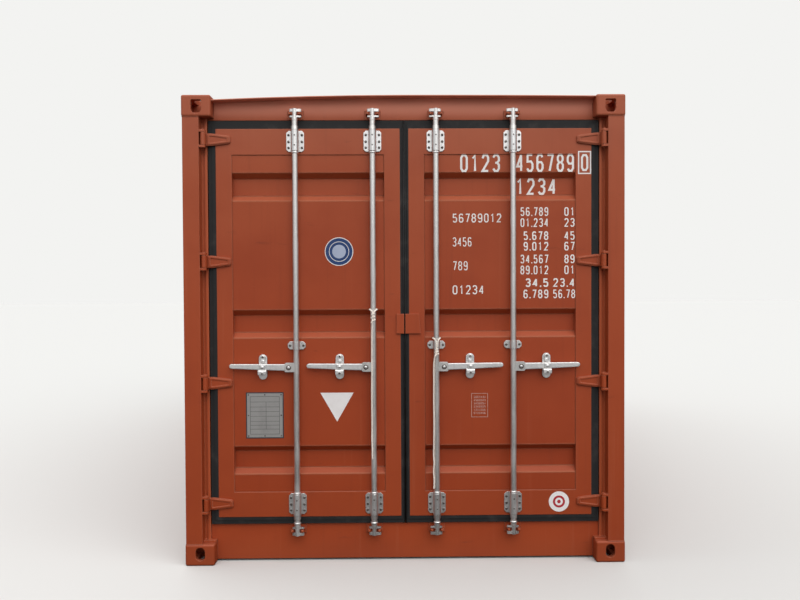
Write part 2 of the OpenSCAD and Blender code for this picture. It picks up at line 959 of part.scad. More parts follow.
// hinge blade: knuckle, web that steps back to the leaf, and a tapered blade
module hinge_blade() {
    root = knuckle_h / 2;
    tip_x = pin_x - blade_l;
    difference() {
        union() {
            translate([pin_x, pin_d, -root])
                cylinder(r = knuckle_r, h = knuckle_h);
            block([pin_x - knuckle_r, pin_d, -root], [pin_x + knuckle_r - 3, leaf_d, root]);
            translate([0, leaf_d, 0])
                rotate([90, 0, 0])
                    linear_extrude(blade_t)
                        polygon([
                            [pin_x, -root], [pin_x, root], [pin_x - 40, root],
                            [tip_x + 10, 22], [tip_x, 15], [tip_x, -15],
                            [tip_x + 10, -22], [pin_x - 40, -root]
                        ]);
            // raised rim along the blade
            translate([0, leaf_d - blade_t, 0])
                rotate([90, 0, 0])
                    linear_extrude(3)
                        difference() {
                            polygon([
                                [pin_x - 18, -28], [pin_x - 18, 28], [pin_x - 38, 28],
                                [tip_x + 12, 17], [tip_x + 6, 12], [tip_x + 6, -12],
                                [tip_x + 12, -17], [pin_x - 38, -28]
                            ]);
                            polygon([
                                [pin_x - 28, -19], [pin_x - 28, 19], [pin_x - 40, 19],
                                [tip_x + 18, 8], [tip_x + 18, -8], [pin_x - 40, -19]
                            ]);
                        }
        }
        translate([pin_x, pin_d, -root - eps])
            cylinder(r = pin_r + 0.1, h = knuckle_h + 2 * eps);
    }
}

module leaf_hinge_blades() {
    for (z = hinge_zs)
        translate([0, 0, z])
            hinge_blade();
}

// guide of a rod: flanges on the leaf, a sleeve around the rod and bolt heads
module rod_guide(w, h, sleeve, bolts) {
    neck = sleeve - 2.5;
    difference() {
        union() {
            translate([0, leaf_d, 0])
                rotate([90, 0, 0])
                    linear_extrude(guide_t)
                        polygon([
                            [-w / 2, -h / 2 + 12], [-w / 2 + 12, -h / 2],
                            [w / 2 - 12, -h / 2], [w / 2, -h / 2 + 12],
                            [w / 2, h / 2 - 12], [w / 2 - 12, h / 2],
                            [-w / 2 + 12, h / 2], [-w / 2, h / 2 - 12]
                        ]);
            block([-neck, rod_d, -h / 2], [neck, leaf_d, h / 2]);
            translate([0, rod_d, -h / 2])
                cylinder(r = sleeve, h = h);
            for (s = [-1, 1], z = bolts)
                translate([s * (w / 2 - 12), leaf_d - guide_t - 4, z])
                    rotate([-90, 0, 0])
                        cylinder(r = 6, h = 4 + eps);
        }
        translate([0, rod_d, -h / 2 - eps])
            cylinder(r = sleeve_bore, h = h + 2 * eps);
    }
}

module rod_guides(xs, small) {
    for (x = xs, z = [guide_top_z, guide_low_z])
        translate([x, 0, z])
            rod_guide(guide_w, guide_h, sleeve_r, [22 - guide_h / 2, -3, guide_h / 2 - 24]);
    for (x = small)
        translate([x, 0, guide_mid_z])
            rod_guide(mid_guide_w, mid_guide_h, sleeve_bore + 3, [0]);
}

// rise of a handle's middle where it crosses its catch
mid_rise = handle_rise / 4;

// catch under a handle: back plate, rivet for the hasp and a shelf
catch_top = handle_z + catch_up;
hasp_pivot_z = catch_top - 14;

module handle_catch() {
    half = catch_w / 2;
    shelf_z = handle_z + mid_rise - handle_mid_h / 2 - 1;
    translate([0, leaf_d, 0])
        rotate([90, 0, 0])
            linear_extrude(catch_t)
                union() {
                    block2([-half, catch_top - catch_h + half], [half, catch_top - half]);
                    for (z = [catch_top - catch_h + half, catch_top - half])
                        translate([0, z])
                            circle(half);
                }
    // shelf with a turned-down front edge
    difference() {
        translate([-half, 0, 0])
            rotate([90, 0, 90])
                linear_extrude(catch_w)
                    polygon([
                        [leaf_d - catch_t, shelf_z], [16, shelf_z], [12, shelf_z - 4],
                        [12, shelf_z - 26], [17, shelf_z - 26], [17, shelf_z - 7],
                        [22, shelf_z - 6], [leaf_d - catch_t, shelf_z - 6]
                    ]);
        translate([0, 20, shelf_z - 17])
            rotate([90, 0, 0])
                cylinder(r = 5, h = 12);
    }
    // rivet with its washer and head
    translate([0, leaf_d - catch_t, hasp_pivot_z])
        rotate([90, 0, 0]) {
            cylinder(r = 10, h = 1.2);
            cylinder(r = 5, h = 6.5);
            translate([0, 0, 5.8])
                cylinder(r = 9, h = 2.4);
        }
}

module handle_catches(xs) {
    for (x = xs)
        translate([x, 0, 0])
            handle_catch();
}

// small flap that hangs from the catch's rivet
module hasp(x) {
    door_end()
        translate([x, leaf_d - catch_t - 1.5, hasp_pivot_z])
            rotate([90, 0, 0])
                difference() {
                    union() {
                        linear_extrude(4)
                            hull() {
                                circle(14);
                                translate([0, -24])
                                    circle(13);
                            }
                        translate([0, -24, 0])
                            cylinder(r1 = 9, r2 = 7, h = 6);
                    }
                    translate([0, 0, -eps])
                        cylinder(r = 5.1, h = 20);
                }
}

// cam: root, stem and two pairs of wings that grip the keeper's prongs
module cam(near) {
    module wing(z, h) {
        translate([0, 0, z])
            linear_extrude(h)
                hull() {
                    circle(12, $fn = 32);
                    translate([near * (cam_near - 7), 0])
                        circle(7, $fn = 32);
                    translate([-near * (cam_far - 7), 0])
                        circle(7, $fn = 32);
                }
    }
    cylinder(r = rod_r + 1, h = root_h);
    cylinder(r = rod_r - 2, h = cam_h);
    wing(root_h, wing_t);
    wing(root_h + wing_t + wing_gap, cam_h - root_h - wing_t - wing_gap - 2);
}

// lock rod from cam to cam with its collars and the hub of its handle; side is the
// way in X that the handle points
module lock_rod(x, side) {
    door_end()
        translate([x, rod_d, 0])
            difference() {
                union() {
                    translate([0, 0, low_cam_z])
                        cylinder(r = rod_r, h = cam_z - low_cam_z);
                    translate([0, 0, cam_z])
                        cam(side);
                    translate([0, 0, low_cam_z])
                        mirror([0, 0, 1])
                            cam(side);
                    // collars beyond the guides, rings on their other side and at the cam
                    translate([0, 0, guide_top_z + guide_h / 2 + collar_gap])
                        cylinder(r1 = rod_r + 4, r2 = rod_r + 3, h = collar_h);
                    translate([0, 0, guide_low_z - guide_h / 2 - collar_gap - collar_h])
                        cylinder(r1 = rod_r + 3, r2 = rod_r + 4, h = collar_h);
                    for (z = [guide_top_z - guide_h / 2 - collar_gap - ring_h,
                              guide_low_z + guide_h / 2 + collar_gap, low_cam_z])
                        translate([0, 0, z])
                            cylinder(r = rod_r + 3, h = ring_h);
                    hub(side);
                }
                translate([0, 0, low_cam_z + 10])
                    cylinder(r = rod_bore_r, h = cam_z - low_cam_z - 20);
                // vent hole of the galvanised tube
                translate([0, 0, low_cam_z + 18])
                    rotate([-90, 0, 0])
                        cylinder(r = 3, h = 30);
            }
}

// hub: two cheeks and the pin that carries the handle
module hub(side) {
    inner = handle_t / 2 + cheek_play;
    outer = inner + cheek_t;
    reach = handle_pin + 22;
    difference() {
        union() {
            for (d = [-outer, inner])
                translate([0, d + cheek_t, handle_z])
                    rotate([90, 0, 0])
                        linear_extrude(cheek_t)
                            offset(r = 8)
                                block2([min(0, side * reach) + 8, -hub_h / 2 + 8],
                                       [max(0, side * reach) - 8, hub_h / 2 - 8]);
            translate([side * handle_pin, outer + 2, handle_z])
                rotate([90, 0, 0])
                    cylinder(r = 8, h = 2 * outer + 4);
            translate([side * handle_pin, -outer, handle_z])
                rotate([90, 0, 0])
                    cylinder(r1 = 13, r2 = 11, h = 3);
        }
        // the cheeks stop at the rod's wall
        translate([0, 0, handle_z - hub_h])
            cylinder(r = rod_bore_r, h = 2 * hub_h);
    }
}

// handle: eye on the hub's pin, tapered bar, front lug over the catch and a round tip
module handle(x, side) {
    tip = handle_l - handle_tip_h / 2;
    door_end()
        translate([x, rod_d, handle_z])
            difference() {
                union() {
                    translate([0, handle_t / 2, 0])
                        rotate([90, 0, 0])
                            linear_extrude(handle_t)
                                hull() {
                                    translate([side * (handle_pin + 2), 0])
                                        circle(handle_root_h / 2, $fn = 32);
                                    translate([side * catch_x, mid_rise])
                                        circle(handle_mid_h / 2, $fn = 32);
                                    translate([side * tip, handle_rise])
                                        circle(handle_tip_h / 2, $fn = 32);
                                }
                    translate([side * catch_x, -handle_t / 2, mid_rise])
                        rotate([90, 0, 0])
                            linear_extrude(6)
                                offset(r = 4)
                                    square([22, handle_mid_h - 8], center = true);
                }
                translate([side * handle_pin, 20, 0])
                    rotate([90, 0, 0])
                        cylinder(r = 8.1, h = 40);
            }
}

module left_door_frame() {
    color(paint)
        door_end()
            mirror([1, 0, 0])
                leaf_frame();
}

module right_door_frame() {
    color(paint)
        door_end()
            leaf_frame();
}

module left_door_panel() {
    color(paint)
        door_end()
            mirror([1, 0, 0])
                leaf_panel();
}

module right_door_panel() {
    color(paint)
        door_end()
            leaf_panel();
}

module left_door_gasket() {
    color(rubber)
        door_end()
            mirror([1, 0, 0])
                leaf_gasket();
}

module right_door_gasket() {
    color(rubber)
        door_end()
            leaf_gasket();
}

module left_hinge_blades() {
    color(paint)
        door_end()
            mirror([1, 0, 0])
                leaf_hinge_blades();
}

module right_hinge_blades() {
    color(paint)
        door_end()
            leaf_hinge_blades();
}

module left_rod_guides() {
    color(zinc)
        door_end()
            rod_guides([rods[0], rods[1]], [rods[0]]);
}

module right_rod_guides() {
    color(zinc)
        door_end()
            rod_guides([rods[2], rods[3]], [rods[2], rods[3]]);
}

module left_handle_catches() {
    color(zinc)
        door_end()
            handle_catches([rods[0] - catch_x, rods[1] - catch_x]);
}

module right_handle_catches() {
    color(zinc)
        door_end()
            handle_catches([rods[2] + catch_x, rods[3] + catch_x]);
}

// plate on the right leaf beside the meeting edge
module meeting_plate() {
    x1 = meeting_x + plate_right;
    color(paint)
        door_end()
            across(leaf_d - plate_t, leaf_d)
                polygon([
                    [seal_x0, plate_z], [x1, plate_z],
                    [x1 - 8, plate_z + plate_h], [seal_x0, plate_z + plate_h]
                ]);
}

// its other end, on the left leaf
module meeting_stop() {
    x1 = meeting_x + plate_left;
    color(paint)
        door_end()
            mirror([1, 0, 0])
                block([seal_x0, leaf_d - plate_t, plate_z], [x1, leaf_d, plate_z + plate_h]);
}

module lock_rod_1() { color(zinc) lock_rod(rods[0], -1); }
module lock_rod_2() { color(zinc) lock_rod(rods[1], -1); }
module lock_rod_3() { color(zinc) lock_rod(rods[2], 1); }
module lock_rod_4() { color(zinc) lock_rod(rods[3], 1); }
module handle_1() { color(zinc) handle(rods[0], -1); }
module handle_2() { color(zinc) handle(rods[1], -1); }
module handle_3() { color(zinc) handle(rods[2], 1); }
module handle_4() { color(zinc) handle(rods[3], 1); }
module hasp_1() { color(zinc) hasp(rods[0] - catch_x); }
module hasp_2() { color(zinc) hasp(rods[1] - catch_x); }
module hasp_3() { color(zinc) hasp(rods[2] + catch_x); }
module hasp_4() { color(zinc) hasp(rods[3] + catch_x); }

// one turn of a rope round the back of its rod, from the right to the left, as points
// from the rod's axis; each end leans forward into the V in front of the rod
turn_r = rod_r + rope_dia / 2 + 0.7;
function rope_turn(z) = [
    for (a = [-36 : 18 : 216]) [turn_r * cos(a), turn_r * sin(a), z + 3 * sin(a)]
];

// route of the left rope: up one arm of the V, round the rod and down to its free end
rope_left_route = concat(
    [[4.6, -24.6, 1390], [7.5, -22.6, 1401]],
    rope_turn(1412),
    [
        [-6.5, -22.3, 1401], [-3.8, -24.6, 1390], [-4, -24, 1370], [-5, -22.6, 1340],
        [-7, -21, 1300], [-8, -20.7, 1200], [-8.5, -20.5, 1093], [-9, -20.3, 1000],
        [-9.5, -20, 900], [-9, -20.3, 800], [-10, -19.8, 700], [-8, -20.7, 640],
        [-8.5, -20.5, 583]
    ]
);

// route of the right rope: its V hangs in front of the small guide
rope_right_route = concat(
    [[4.8, -25.8, 1204], [5.2, -25.5, 1222], [8, -24.6, 1238], [12.5, -20, 1246]],
    rope_turn(1251),
    [
        [-12, -20.3, 1246], [-6, -25.3, 1238], [-3.7, -26, 1222], [-3.5, -26, 1203],
        [-3.5, -26, 1180], [-7, -23.6, 1162], [-13, -18.5, 1135], [-16, -15.2, 1093],
        [-16.5, -14.6, 1000], [-17, -14, 900], [-16, -15.2, 780], [-17.5, -13.4, 660],
        [-18.5, -12, 600], [-16.5, -14.6, 560], [-19, -11.2, 510], [-16.5, -14.6, 465],
        [-18, -12.8, 414]
    ]
);

function unit(v) = v / norm(v);

// direction of a route at one of its points
function heading(route, i) =
    unit(route[min(i + 1, len(route) - 1)] - route[max(i - 1, 0)]);

// a round tube with ten sides along a route; "up" is only used to turn its rings
module tube(route, dia) {
    sides = 10;
    last = len(route) - 1;
    rings = [
        for (i = [0 : last])
            let (
                t = heading(route, i),
                side = unit(cross(t, abs(t[2]) > 0.8 ? [0, 1, 0] : [0, 0, 1])),
                up = cross(side, t)
            )
            for (k = [0 : sides - 1])
                route[i] + dia / 2 * (cos(360 * k / sides) * side + sin(360 * k / sides) * up)
    ];
    faces = concat(
        [[for (k = [0 : sides - 1]) k]],
        [for (i = [0 : last - 1], k = [0 : sides - 1]) [
            i * sides + k, (i + 1) * sides + k,
            (i + 1) * sides + (k + 1) % sides, i * sides + (k + 1) % sides
        ]],
        [[for (k = [sides - 1 : -1 : 0]) last * sides + k]]
    );
    polyhedron(rings, faces, convexity = 8);
}

module rope_left() {
    color([0.85, 0.78, 0.7])
        door_end()
            translate([rods[1], rod_d, 0])
                tube(rope_left_route, rope_dia);
}

module rope_right() {
    color([0.85, 0.78, 0.7])
        door_end()
            translate([rods[2], rod_d, 0])
                tube(rope_right_route, rope_dia);
}

top_corner_castings();
bottom_corner_castings();
door_posts();
front_posts();
hinge_ears();
hinge_pins();
door_header();
door_sill();
cam_keepers();
front_top_rail();
front_bottom_rail();
top_side_rails();
bottom_side_rails();
cross_members();
fork_pockets();
floor_boards();
threshold_plate();
left_side_wall();
right_side_wall();
end_wall();
roof_panel();
roof_corner_plates();
left_door_frame();
left_door_panel();
left_door_gasket();
left_hinge_blades();
left_rod_guides();
left_handle_catches();
right_door_frame();
right_door_panel();
right_door_gasket();
right_hinge_blades();
right_rod_guides();
right_handle_catches();
meeting_plate();
meeting_stop();
lock_rod_1();
lock_rod_2();
lock_rod_3();
lock_rod_4();
handle_1();
handle_2();
handle_3();
handle_4();
hasp_1();
hasp_2();
hasp_3();
hasp_4();
rope_left();
rope_right();
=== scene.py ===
# %% [markdown]
# # A steel freight container, door end
# The solids come in ready made. This notebook gives them paint, zinc, rubber, timber
# and rope, adds what is too thin for solids, and sets up camera and studio. X runs
# across, Y along the body and Z up, and the doors face -Y. Blender's unit is the
# metre, and the lengths of details are written in millimetres.

# %% Load the solids
import math
import random

import bmesh
import bpy
from mathutils import Matrix, Vector


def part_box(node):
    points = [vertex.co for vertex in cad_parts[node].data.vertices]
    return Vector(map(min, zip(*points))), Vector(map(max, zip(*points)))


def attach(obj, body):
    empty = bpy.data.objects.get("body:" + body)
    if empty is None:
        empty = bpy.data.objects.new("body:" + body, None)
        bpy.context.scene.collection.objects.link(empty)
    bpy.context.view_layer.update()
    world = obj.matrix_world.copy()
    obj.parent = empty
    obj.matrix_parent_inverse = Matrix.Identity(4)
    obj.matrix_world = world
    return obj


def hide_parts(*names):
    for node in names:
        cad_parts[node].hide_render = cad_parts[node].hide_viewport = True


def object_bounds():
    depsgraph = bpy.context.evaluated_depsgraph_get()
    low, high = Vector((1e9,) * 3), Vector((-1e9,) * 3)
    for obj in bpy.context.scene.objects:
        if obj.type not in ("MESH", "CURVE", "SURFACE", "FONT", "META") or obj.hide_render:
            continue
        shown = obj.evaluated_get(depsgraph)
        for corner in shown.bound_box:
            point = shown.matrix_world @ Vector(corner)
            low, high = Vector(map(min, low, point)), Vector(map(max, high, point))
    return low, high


MM = 0.001
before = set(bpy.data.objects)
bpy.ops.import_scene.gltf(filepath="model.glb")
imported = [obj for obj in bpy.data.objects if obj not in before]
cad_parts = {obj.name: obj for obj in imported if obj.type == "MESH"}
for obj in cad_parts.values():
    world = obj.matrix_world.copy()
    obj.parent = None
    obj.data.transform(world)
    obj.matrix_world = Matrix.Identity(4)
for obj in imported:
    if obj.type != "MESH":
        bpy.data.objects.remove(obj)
cad_low, cad_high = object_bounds()
door_plane = cad_low.y
print("solids", len(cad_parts), "height", round(cad_high.z, 3))

# %% [markdown]
# ## Where things are
# A depth is measured inwards from the plane of the corner castings at the door end.
# The places of leaves, panels and seals are read from the solids, so a detail sits on
# what carries it. The pressed troughs of a panel are known by the heights of their
# bends, because a marking or weld bead that crosses them has to bend there too.

# %% Places on the door end
SIDES = {"left": -1, "right": 1}
ROD_X = [-602, -175, 175, 602]
ROD_DEPTH = 31
HANDLE_Z = 1093
GUIDE_Z = (328, 2344)
MIDDLE_GUIDE_Z = 1213
HINGE_Z = (332, 1006, 1680, 2354)

leaf_low, leaf_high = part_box("right_door_frame")
panel_low, panel_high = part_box("right_door_panel")
LEAF_DEPTH = round((leaf_low.y - door_plane) / MM, 1)
PANEL_DEPTH = round((panel_low.y - door_plane) / MM, 1)
PANEL_X = (panel_low.x / MM, panel_high.x / MM)
PANEL_Z = (panel_low.z / MM, panel_high.z / MM)

TROUGH_HALF, TROUGH_SLOPE, TROUGH_DEEP = 78, 30, 34
TROUGH_FOOT, TROUGH_HEAD = 179, 177
lowest, highest = PANEL_Z[0] + TROUGH_FOOT, PANEL_Z[1] - TROUGH_HEAD
TROUGHS = (lowest, (lowest + highest) / 2, highest)
BEND_OFFSETS = (-TROUGH_HALF, TROUGH_SLOPE - TROUGH_HALF, TROUGH_HALF - TROUGH_SLOPE, TROUGH_HALF)
BENDS = [middle + offset for middle in TROUGHS for offset in BEND_OFFSETS]


def at(x, depth, z):
    """A point given in mm: across, behind the castings' plane, and above the ground."""
    return Vector((x * MM, door_plane + depth * MM, z * MM))


def leaf_relief(x, z):
    """The depth in mm of a leaf's face at a place: frame, panel or pressed trough."""
    if not (PANEL_X[0] < abs(x) < PANEL_X[1] and PANEL_Z[0] <= z <= PANEL_Z[1] - 0.2):
        return LEAF_DEPTH
    off = min(abs(z - middle) for middle in TROUGHS)
    step = min(max((TROUGH_HALF - off) / TROUGH_SLOPE, 0), 1)
    return PANEL_DEPTH + TROUGH_DEEP * step


print("leaf depth", LEAF_DEPTH, "panel", PANEL_DEPTH, PANEL_X, PANEL_Z, "troughs", TROUGHS)

# %% [markdown]
# ## The camera
# The picture was taken with a wide lens from a little over four metres, at eye
# height, almost square to the doors. A camera can be placed by eye, but the corner
# castings have standard sizes, so their corners in the picture give its position and
# its small turns. Its field is as wide as the picture is far away, so the lens is as
# long as the sensor is wide.

# %% Camera
SENSOR_WIDTH = 36
CAMERA_TURN = math.radians(-0.719)
CAMERA_PITCH = math.radians(-1.196)
CAMERA_ROLL = math.radians(-0.275)
CAMERA_PLACE = (-82, -4398, 1556)

camera_data = bpy.data.cameras.new("door_end_camera")
camera_data.sensor_width = SENSOR_WIDTH
camera_data.lens = SENSOR_WIDTH
camera_data.clip_start = 0.1
camera_data.clip_end = 300
camera = bpy.data.objects.new("door_end_camera", camera_data)
bpy.context.scene.collection.objects.link(camera)
bpy.context.scene.camera = camera
camera.rotation_mode = "QUATERNION"
camera.rotation_quaternion = (
    Matrix.Rotation(CAMERA_TURN, 3, "Z")
    @ Matrix.Rotation(math.pi / 2 + CAMERA_PITCH, 3, "X")
    @ Matrix.Rotation(CAMERA_ROLL, 3, "Z")
).to_quaternion()
camera.location = at(*CAMERA_PLACE)
print("camera", [round(v, 3) for v in camera.location])

# %% [markdown]
# ## Colours and nodes
# A colour is written as the sRGB hex value of a paint chart, and one function turns it
# into the linear values that the renderer adds and multiplies. Another adds one
# shader node with its settings and its links, and returns the output that the next
# node needs, so a material reads from top to bottom.


# %% Colour and node helpers
def hex_colour(code):
    """An sRGB hex value such as "8f4630" as a linear colour with alpha."""
    out = []
    for i in (0, 2, 4):
        v = int(code[i:i + 2], 16) / 255
        out.append(v / 12.92 if v <= 0.04045 else ((v + 0.055) / 1.055) ** 2.4)
    return (*out, 1.0)


def feed(socket, value):
    """Gives an input a value, a hex colour or the socket that feeds it."""
    if isinstance(value, bpy.types.NodeSocket):
        socket.id_data.links.new(value, socket)
    else:
        socket.default_value = hex_colour(value) if isinstance(value, str) else value


def add_node(tree, kind, *inputs, out=None, **settings):
    """Adds one shader node and returns an output of it: the first, or the one named.

    The inputs are fed in their order. A setting that starts with a small letter is the
    node's own, and one that starts with a capital is a further input by its name."""
    node = tree.nodes.new("ShaderNode" + kind)
    for key, value in settings.items():
        if key[0].islower():
            setattr(node, key, value)
        else:
            feed(node.inputs[key.replace("_", " ")], value)
    for socket, value in zip([s for s in node.inputs if s.enabled], inputs):
        feed(socket, value)
    if out:
        return node.outputs[out]
    return next((s for s in node.outputs if s.enabled), None)


def new_material(name, recipe, *values, **more):
    """A material whose nodes come from a recipe, which returns the finished surface."""
    material = bpy.data.materials.new(name)
    material.use_nodes = True
    material.node_tree.nodes.clear()
    surface = recipe(material.node_tree, *values, **more)
    add_node(material.node_tree, "OutputMaterial", surface)
    return material


print("node helpers ready")

# %% [markdown]
# ## Patterns at their real size
# Dirt, streaks, fibres and grain are cloudy noise. Noise has a scale, but a painter
# thinks in sizes, so the size of its patches is given in millimetres along each axis.
# One colour is then laid over another where a pattern is strong, as a thin coat of
# dirt lies on paint, with a smooth step, because a hard edge would look cut out.

# %% Patterns and thin coats
SMOOTH = {"interpolation_type": "SMOOTHSTEP"}
COLOUR = {"data_type": "RGBA"}


def counted(tree, size):
    """The object's own coordinates, counted in steps of a size in mm, which is one
    number or three."""
    sizes = size if isinstance(size, tuple) else (size,) * 3
    place = add_node(tree, "TexCoord", out="Object")
    return add_node(tree, "Mapping", place, Scale=[1 / (s * MM) for s in sizes])


def cloudy(tree, size, detail=3, rough=0.55):
    """Noise between 0 and 1 with patches of about a size in mm."""
    return add_node(tree, "TexNoise", counted(tree, size), Scale=1.0, Detail=detail,
                    Roughness=rough)


def layer(tree, under, over, pattern, low, high, strength=1.0):
    """Lays a colour over another where a pattern goes from low to high."""
    cover = add_node(tree, "MapRange", pattern, low, high, 0.0, strength, **SMOOTH)
    return add_node(tree, "Mix", cover, under, over, **COLOUR)


print("pattern helpers ready")

# %% [markdown]
# ## Building small pieces
# Bolts and beads are many and small. Each kind is one mesh per part of the container
# that carries it, so a bolt of the left door turns with it. A shape is a pair of
# lists, points and faces, and helpers add to both: a bolt head is a profile spun
# about an axis, and a bead or a rope is a tube that follows a line. Blender has
# primitives for both, but a spun profile gives a dome its curve with few faces.


# %% Pieces and spun heads
def make_piece(name, shape, material, body, smooth=False):
    """A mesh piece that rides on a body and takes a material."""
    points, faces = shape
    mesh = bpy.data.meshes.new(name)
    mesh.from_pydata([tuple(p) for p in points], [], faces)
    mesh.validate()
    mesh.update()
    mesh.materials.append(material)
    for polygon in mesh.polygons:
        polygon.use_smooth = smooth
    piece = bpy.data.objects.new(name, mesh)
    bpy.context.scene.collection.objects.link(piece)
    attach(piece, body)
    return piece


def join_rings(faces, first, rings, sides):
    """Joins rings of points to a closed skin, starting from the point numbered first."""
    last = first + (rings - 1) * sides
    for start in range(first, last, sides):
        for k in range(sides):
            a, b = start + k, start + (k + 1) % sides
            faces.append((a, b, b + sides, a + sides))
    faces.append(tuple(reversed(range(first, first + sides))))
    faces.append(tuple(range(last, last + sides)))


def spin(shape, base, profile, sides=20, out=Vector((0, -1, 0))):
    """Adds a spun shape: the profile lists (radius, height above the base) in mm."""
    points, faces = shape
    first = len(points)
    across = out.orthogonal().normalized()
    up = out.cross(across)
    for radius, height in profile:
        for k in range(sides):
            a = 2 * math.pi * k / sides
            around = math.cos(a) * across + math.sin(a) * up
            points.append(base + (radius * around + height * out) * MM)
    join_rings(faces, first, len(profile), sides)


print("pieces and heads ready")


# %% Tubes and weld beads
def add_tube(shape, path, sides, radius_at, side):
    """Adds a tube that follows a path, with its angles counted from a side of it.

    radius_at gives the radius from the number of a ring, the way to it and the angle."""
    points, faces = shape
    first = len(points)
    way = 0.0
    for i, centre in enumerate(path):
        ahead = (path[min(i + 1, len(path) - 1)] - path[max(i - 1, 0)]).normalized()
        side = side - ahead * side.dot(ahead)
        side = side.normalized() if side.length > 1e-6 else ahead.orthogonal().normalized()
        up = ahead.cross(side)
        if i:
            way += (centre - path[i - 1]).length
        for k in range(sides):
            a = 2 * math.pi * k / sides
            points.append(centre + radius_at(i, way, a) * (math.cos(a) * side + math.sin(a) * up))
    join_rings(faces, first, len(path), sides)


def resampled(path, step):
    """The same line with points no further apart than a step."""
    out = [path[0]]
    for a, b in zip(path, path[1:]):
        count = max(1, math.ceil((b - a).length / step))
        out += [a.lerp(b, i / count) for i in range(1, count + 1)]
    return out


BEAD_RIPPLE = (0.22, -0.08, -0.14)
BEAD_STEP = 2.7 * MM


def add_bead(shape, corners, radius=2.6):
    """Adds a weld bead: a tube whose radius ripples once in about 8 mm."""
    def rippled(i, way, angle):
        return radius * MM * (1 + BEAD_RIPPLE[i % len(BEAD_RIPPLE)])

    add_tube(shape, resampled(corners, BEAD_STEP), 6, rippled, Vector((0, -1, 0)))


print("tubes and beads ready")

# %% [markdown]
# ## Laying a marking on the door
# A marking is sprayed or stuck on, so it follows every bend of the pressed panel. It
# could be an image on the paint, but a flat shape that is cut at the bends and laid
# on the sheet stays sharp from any distance. It is a thin closed skin.


# %% Markings as thin skins
def cut_at_bends(shapes):
    """Flat shapes, lists of (x, z) in mm, as one sheet that is cut at every bend.

    A third value lifts a stroke over those it crosses, because two faces in one plane
    would shade each other."""
    sheet = bmesh.new()
    for shape in shapes:
        sheet.faces.new([sheet.verts.new((x, -sum(rise), z)) for x, z, *rise in shape])
    bmesh.ops.remove_doubles(sheet, verts=sheet.verts[:], dist=0.005)
    for level in (PANEL_Z[1], PANEL_Z[1] - 0.4, PANEL_Z[0], *BENDS):
        parts = [*sheet.verts, *sheet.edges, *sheet.faces]
        bmesh.ops.bisect_plane(sheet, geom=parts, plane_co=(0, 0, level), plane_no=(0, 0, 1))
    sheet.verts.index_update()
    sheet.normal_update()
    return sheet


def lay_on_leaf(name, shapes, material, lift=0.5, sunk=0.3):
    """Flat shapes laid on their leaf as a thin closed skin, with lift and sunk in mm."""
    sheet = cut_at_bends(shapes)
    points, faces = [], []
    count = len(sheet.verts)
    for skin in (-lift, sunk):
        for vert in sheet.verts:
            depth = leaf_relief(vert.co.x, vert.co.z) + skin + vert.co.y
            points.append(at(vert.co.x, depth, vert.co.z))
    for face in sheet.faces:
        loop = [v.index for v in face.verts]
        if face.normal.y > 0:
            loop.reverse()
        faces.append(tuple(loop))
        faces.append(tuple(count + i for i in reversed(loop)))
        for a, b in zip(loop, loop[1:] + loop[:1]):
            edge = sheet.edges.get([v for v in face.verts if v.index in (a, b)])
            if edge and len(edge.link_faces) == 1:
                faces.append((b, a, count + a, count + b))
    sheet.free()
    body = "left_door" if points[0].x < 0 else "right_door"
    make_piece(name, (points, faces), material, body)


def box_shape(x0, x1, z0, z1):
    """A flat rectangle."""
    return [(x0, z0), (x1, z0), (x1, z1), (x0, z1)]


def disc(x, z, outer, inner=0.0, sides=64):
    """A ring or a full disc, made of quads or wedges."""
    shapes = []
    for k in range(sides):
        a, b = 2 * math.pi * k / sides, 2 * math.pi * (k + 1) / sides
        rim = [(x + outer * math.cos(t), z + outer * math.sin(t)) for t in (a, b)]
        hub = [(x + inner * math.cos(t), z + inner * math.sin(t)) for t in (b, a)]
        shapes.append(rim + (hub if inner else [(x, z)]))
    return shapes


print("marking helpers ready, cut at", len(BENDS), "bends")

# %% [markdown]
# ## Rope
# Two thin tie ropes hang from the middle rods. They are laid polypropylene cord,
# melt-spun fibres in three twisted strands, gone chalky in the sun. The eye sees a
# dull white with dirt between the strands. The fibres are finer than a hair and are
# drawn a millimetre thick, so that they show.


# %% Rope material
def polypropylene_rope(tree):
    """Sun-bleached laid polypropylene: matt fibres with a weak sheen."""
    fibres = cloudy(tree, (1.11, 1.11, 8.33), 4)
    dirt = cloudy(tree, (33.3, 33.3, 71.4))
    colour = layer(tree, "f0e2d4", "fffaf2", fibres, 0.3, 0.75)
    colour = layer(tree, colour, "cdb09a", dirt, 0.6, 0.9)
    bump = add_node(tree, "Bump", Strength=0.4, Distance=0.6 * MM, Height=fibres)
    return add_node(tree, "BsdfPrincipled", colour, Roughness=0.8, IOR=1.49, Normal=bump)


rope_material = new_material("laid_polypropylene_rope", polypropylene_rope)
print("rope material", rope_material.name)

# %% [markdown]
# ## The route of each rope
# Each rope is tied once round its rod: the loop lies high behind the rod and comes
# down in a V in front, where a knot pinches it, and the tail hangs down the rod. A
# simulated rope would not tie itself, so its points are listed, in millimetres
# from the rod's axis, and a smooth curve is drawn through them.

# %% Routes
ROPE_DIAMETER = 8
ROD_RADIUS = 16
TURN_SLACK = 0.7
TURN_RADIUS = ROD_RADIUS + ROPE_DIAMETER / 2 + TURN_SLACK


def rope_turn(z):
    """One turn round the back of the rod, from the right to the left."""
    turn = []
    for k in range(15):
        a = math.radians(-36 + 18 * k)
        turn.append((TURN_RADIUS * math.cos(a), TURN_RADIUS * math.sin(a), z + 3 * math.sin(a)))
    return turn


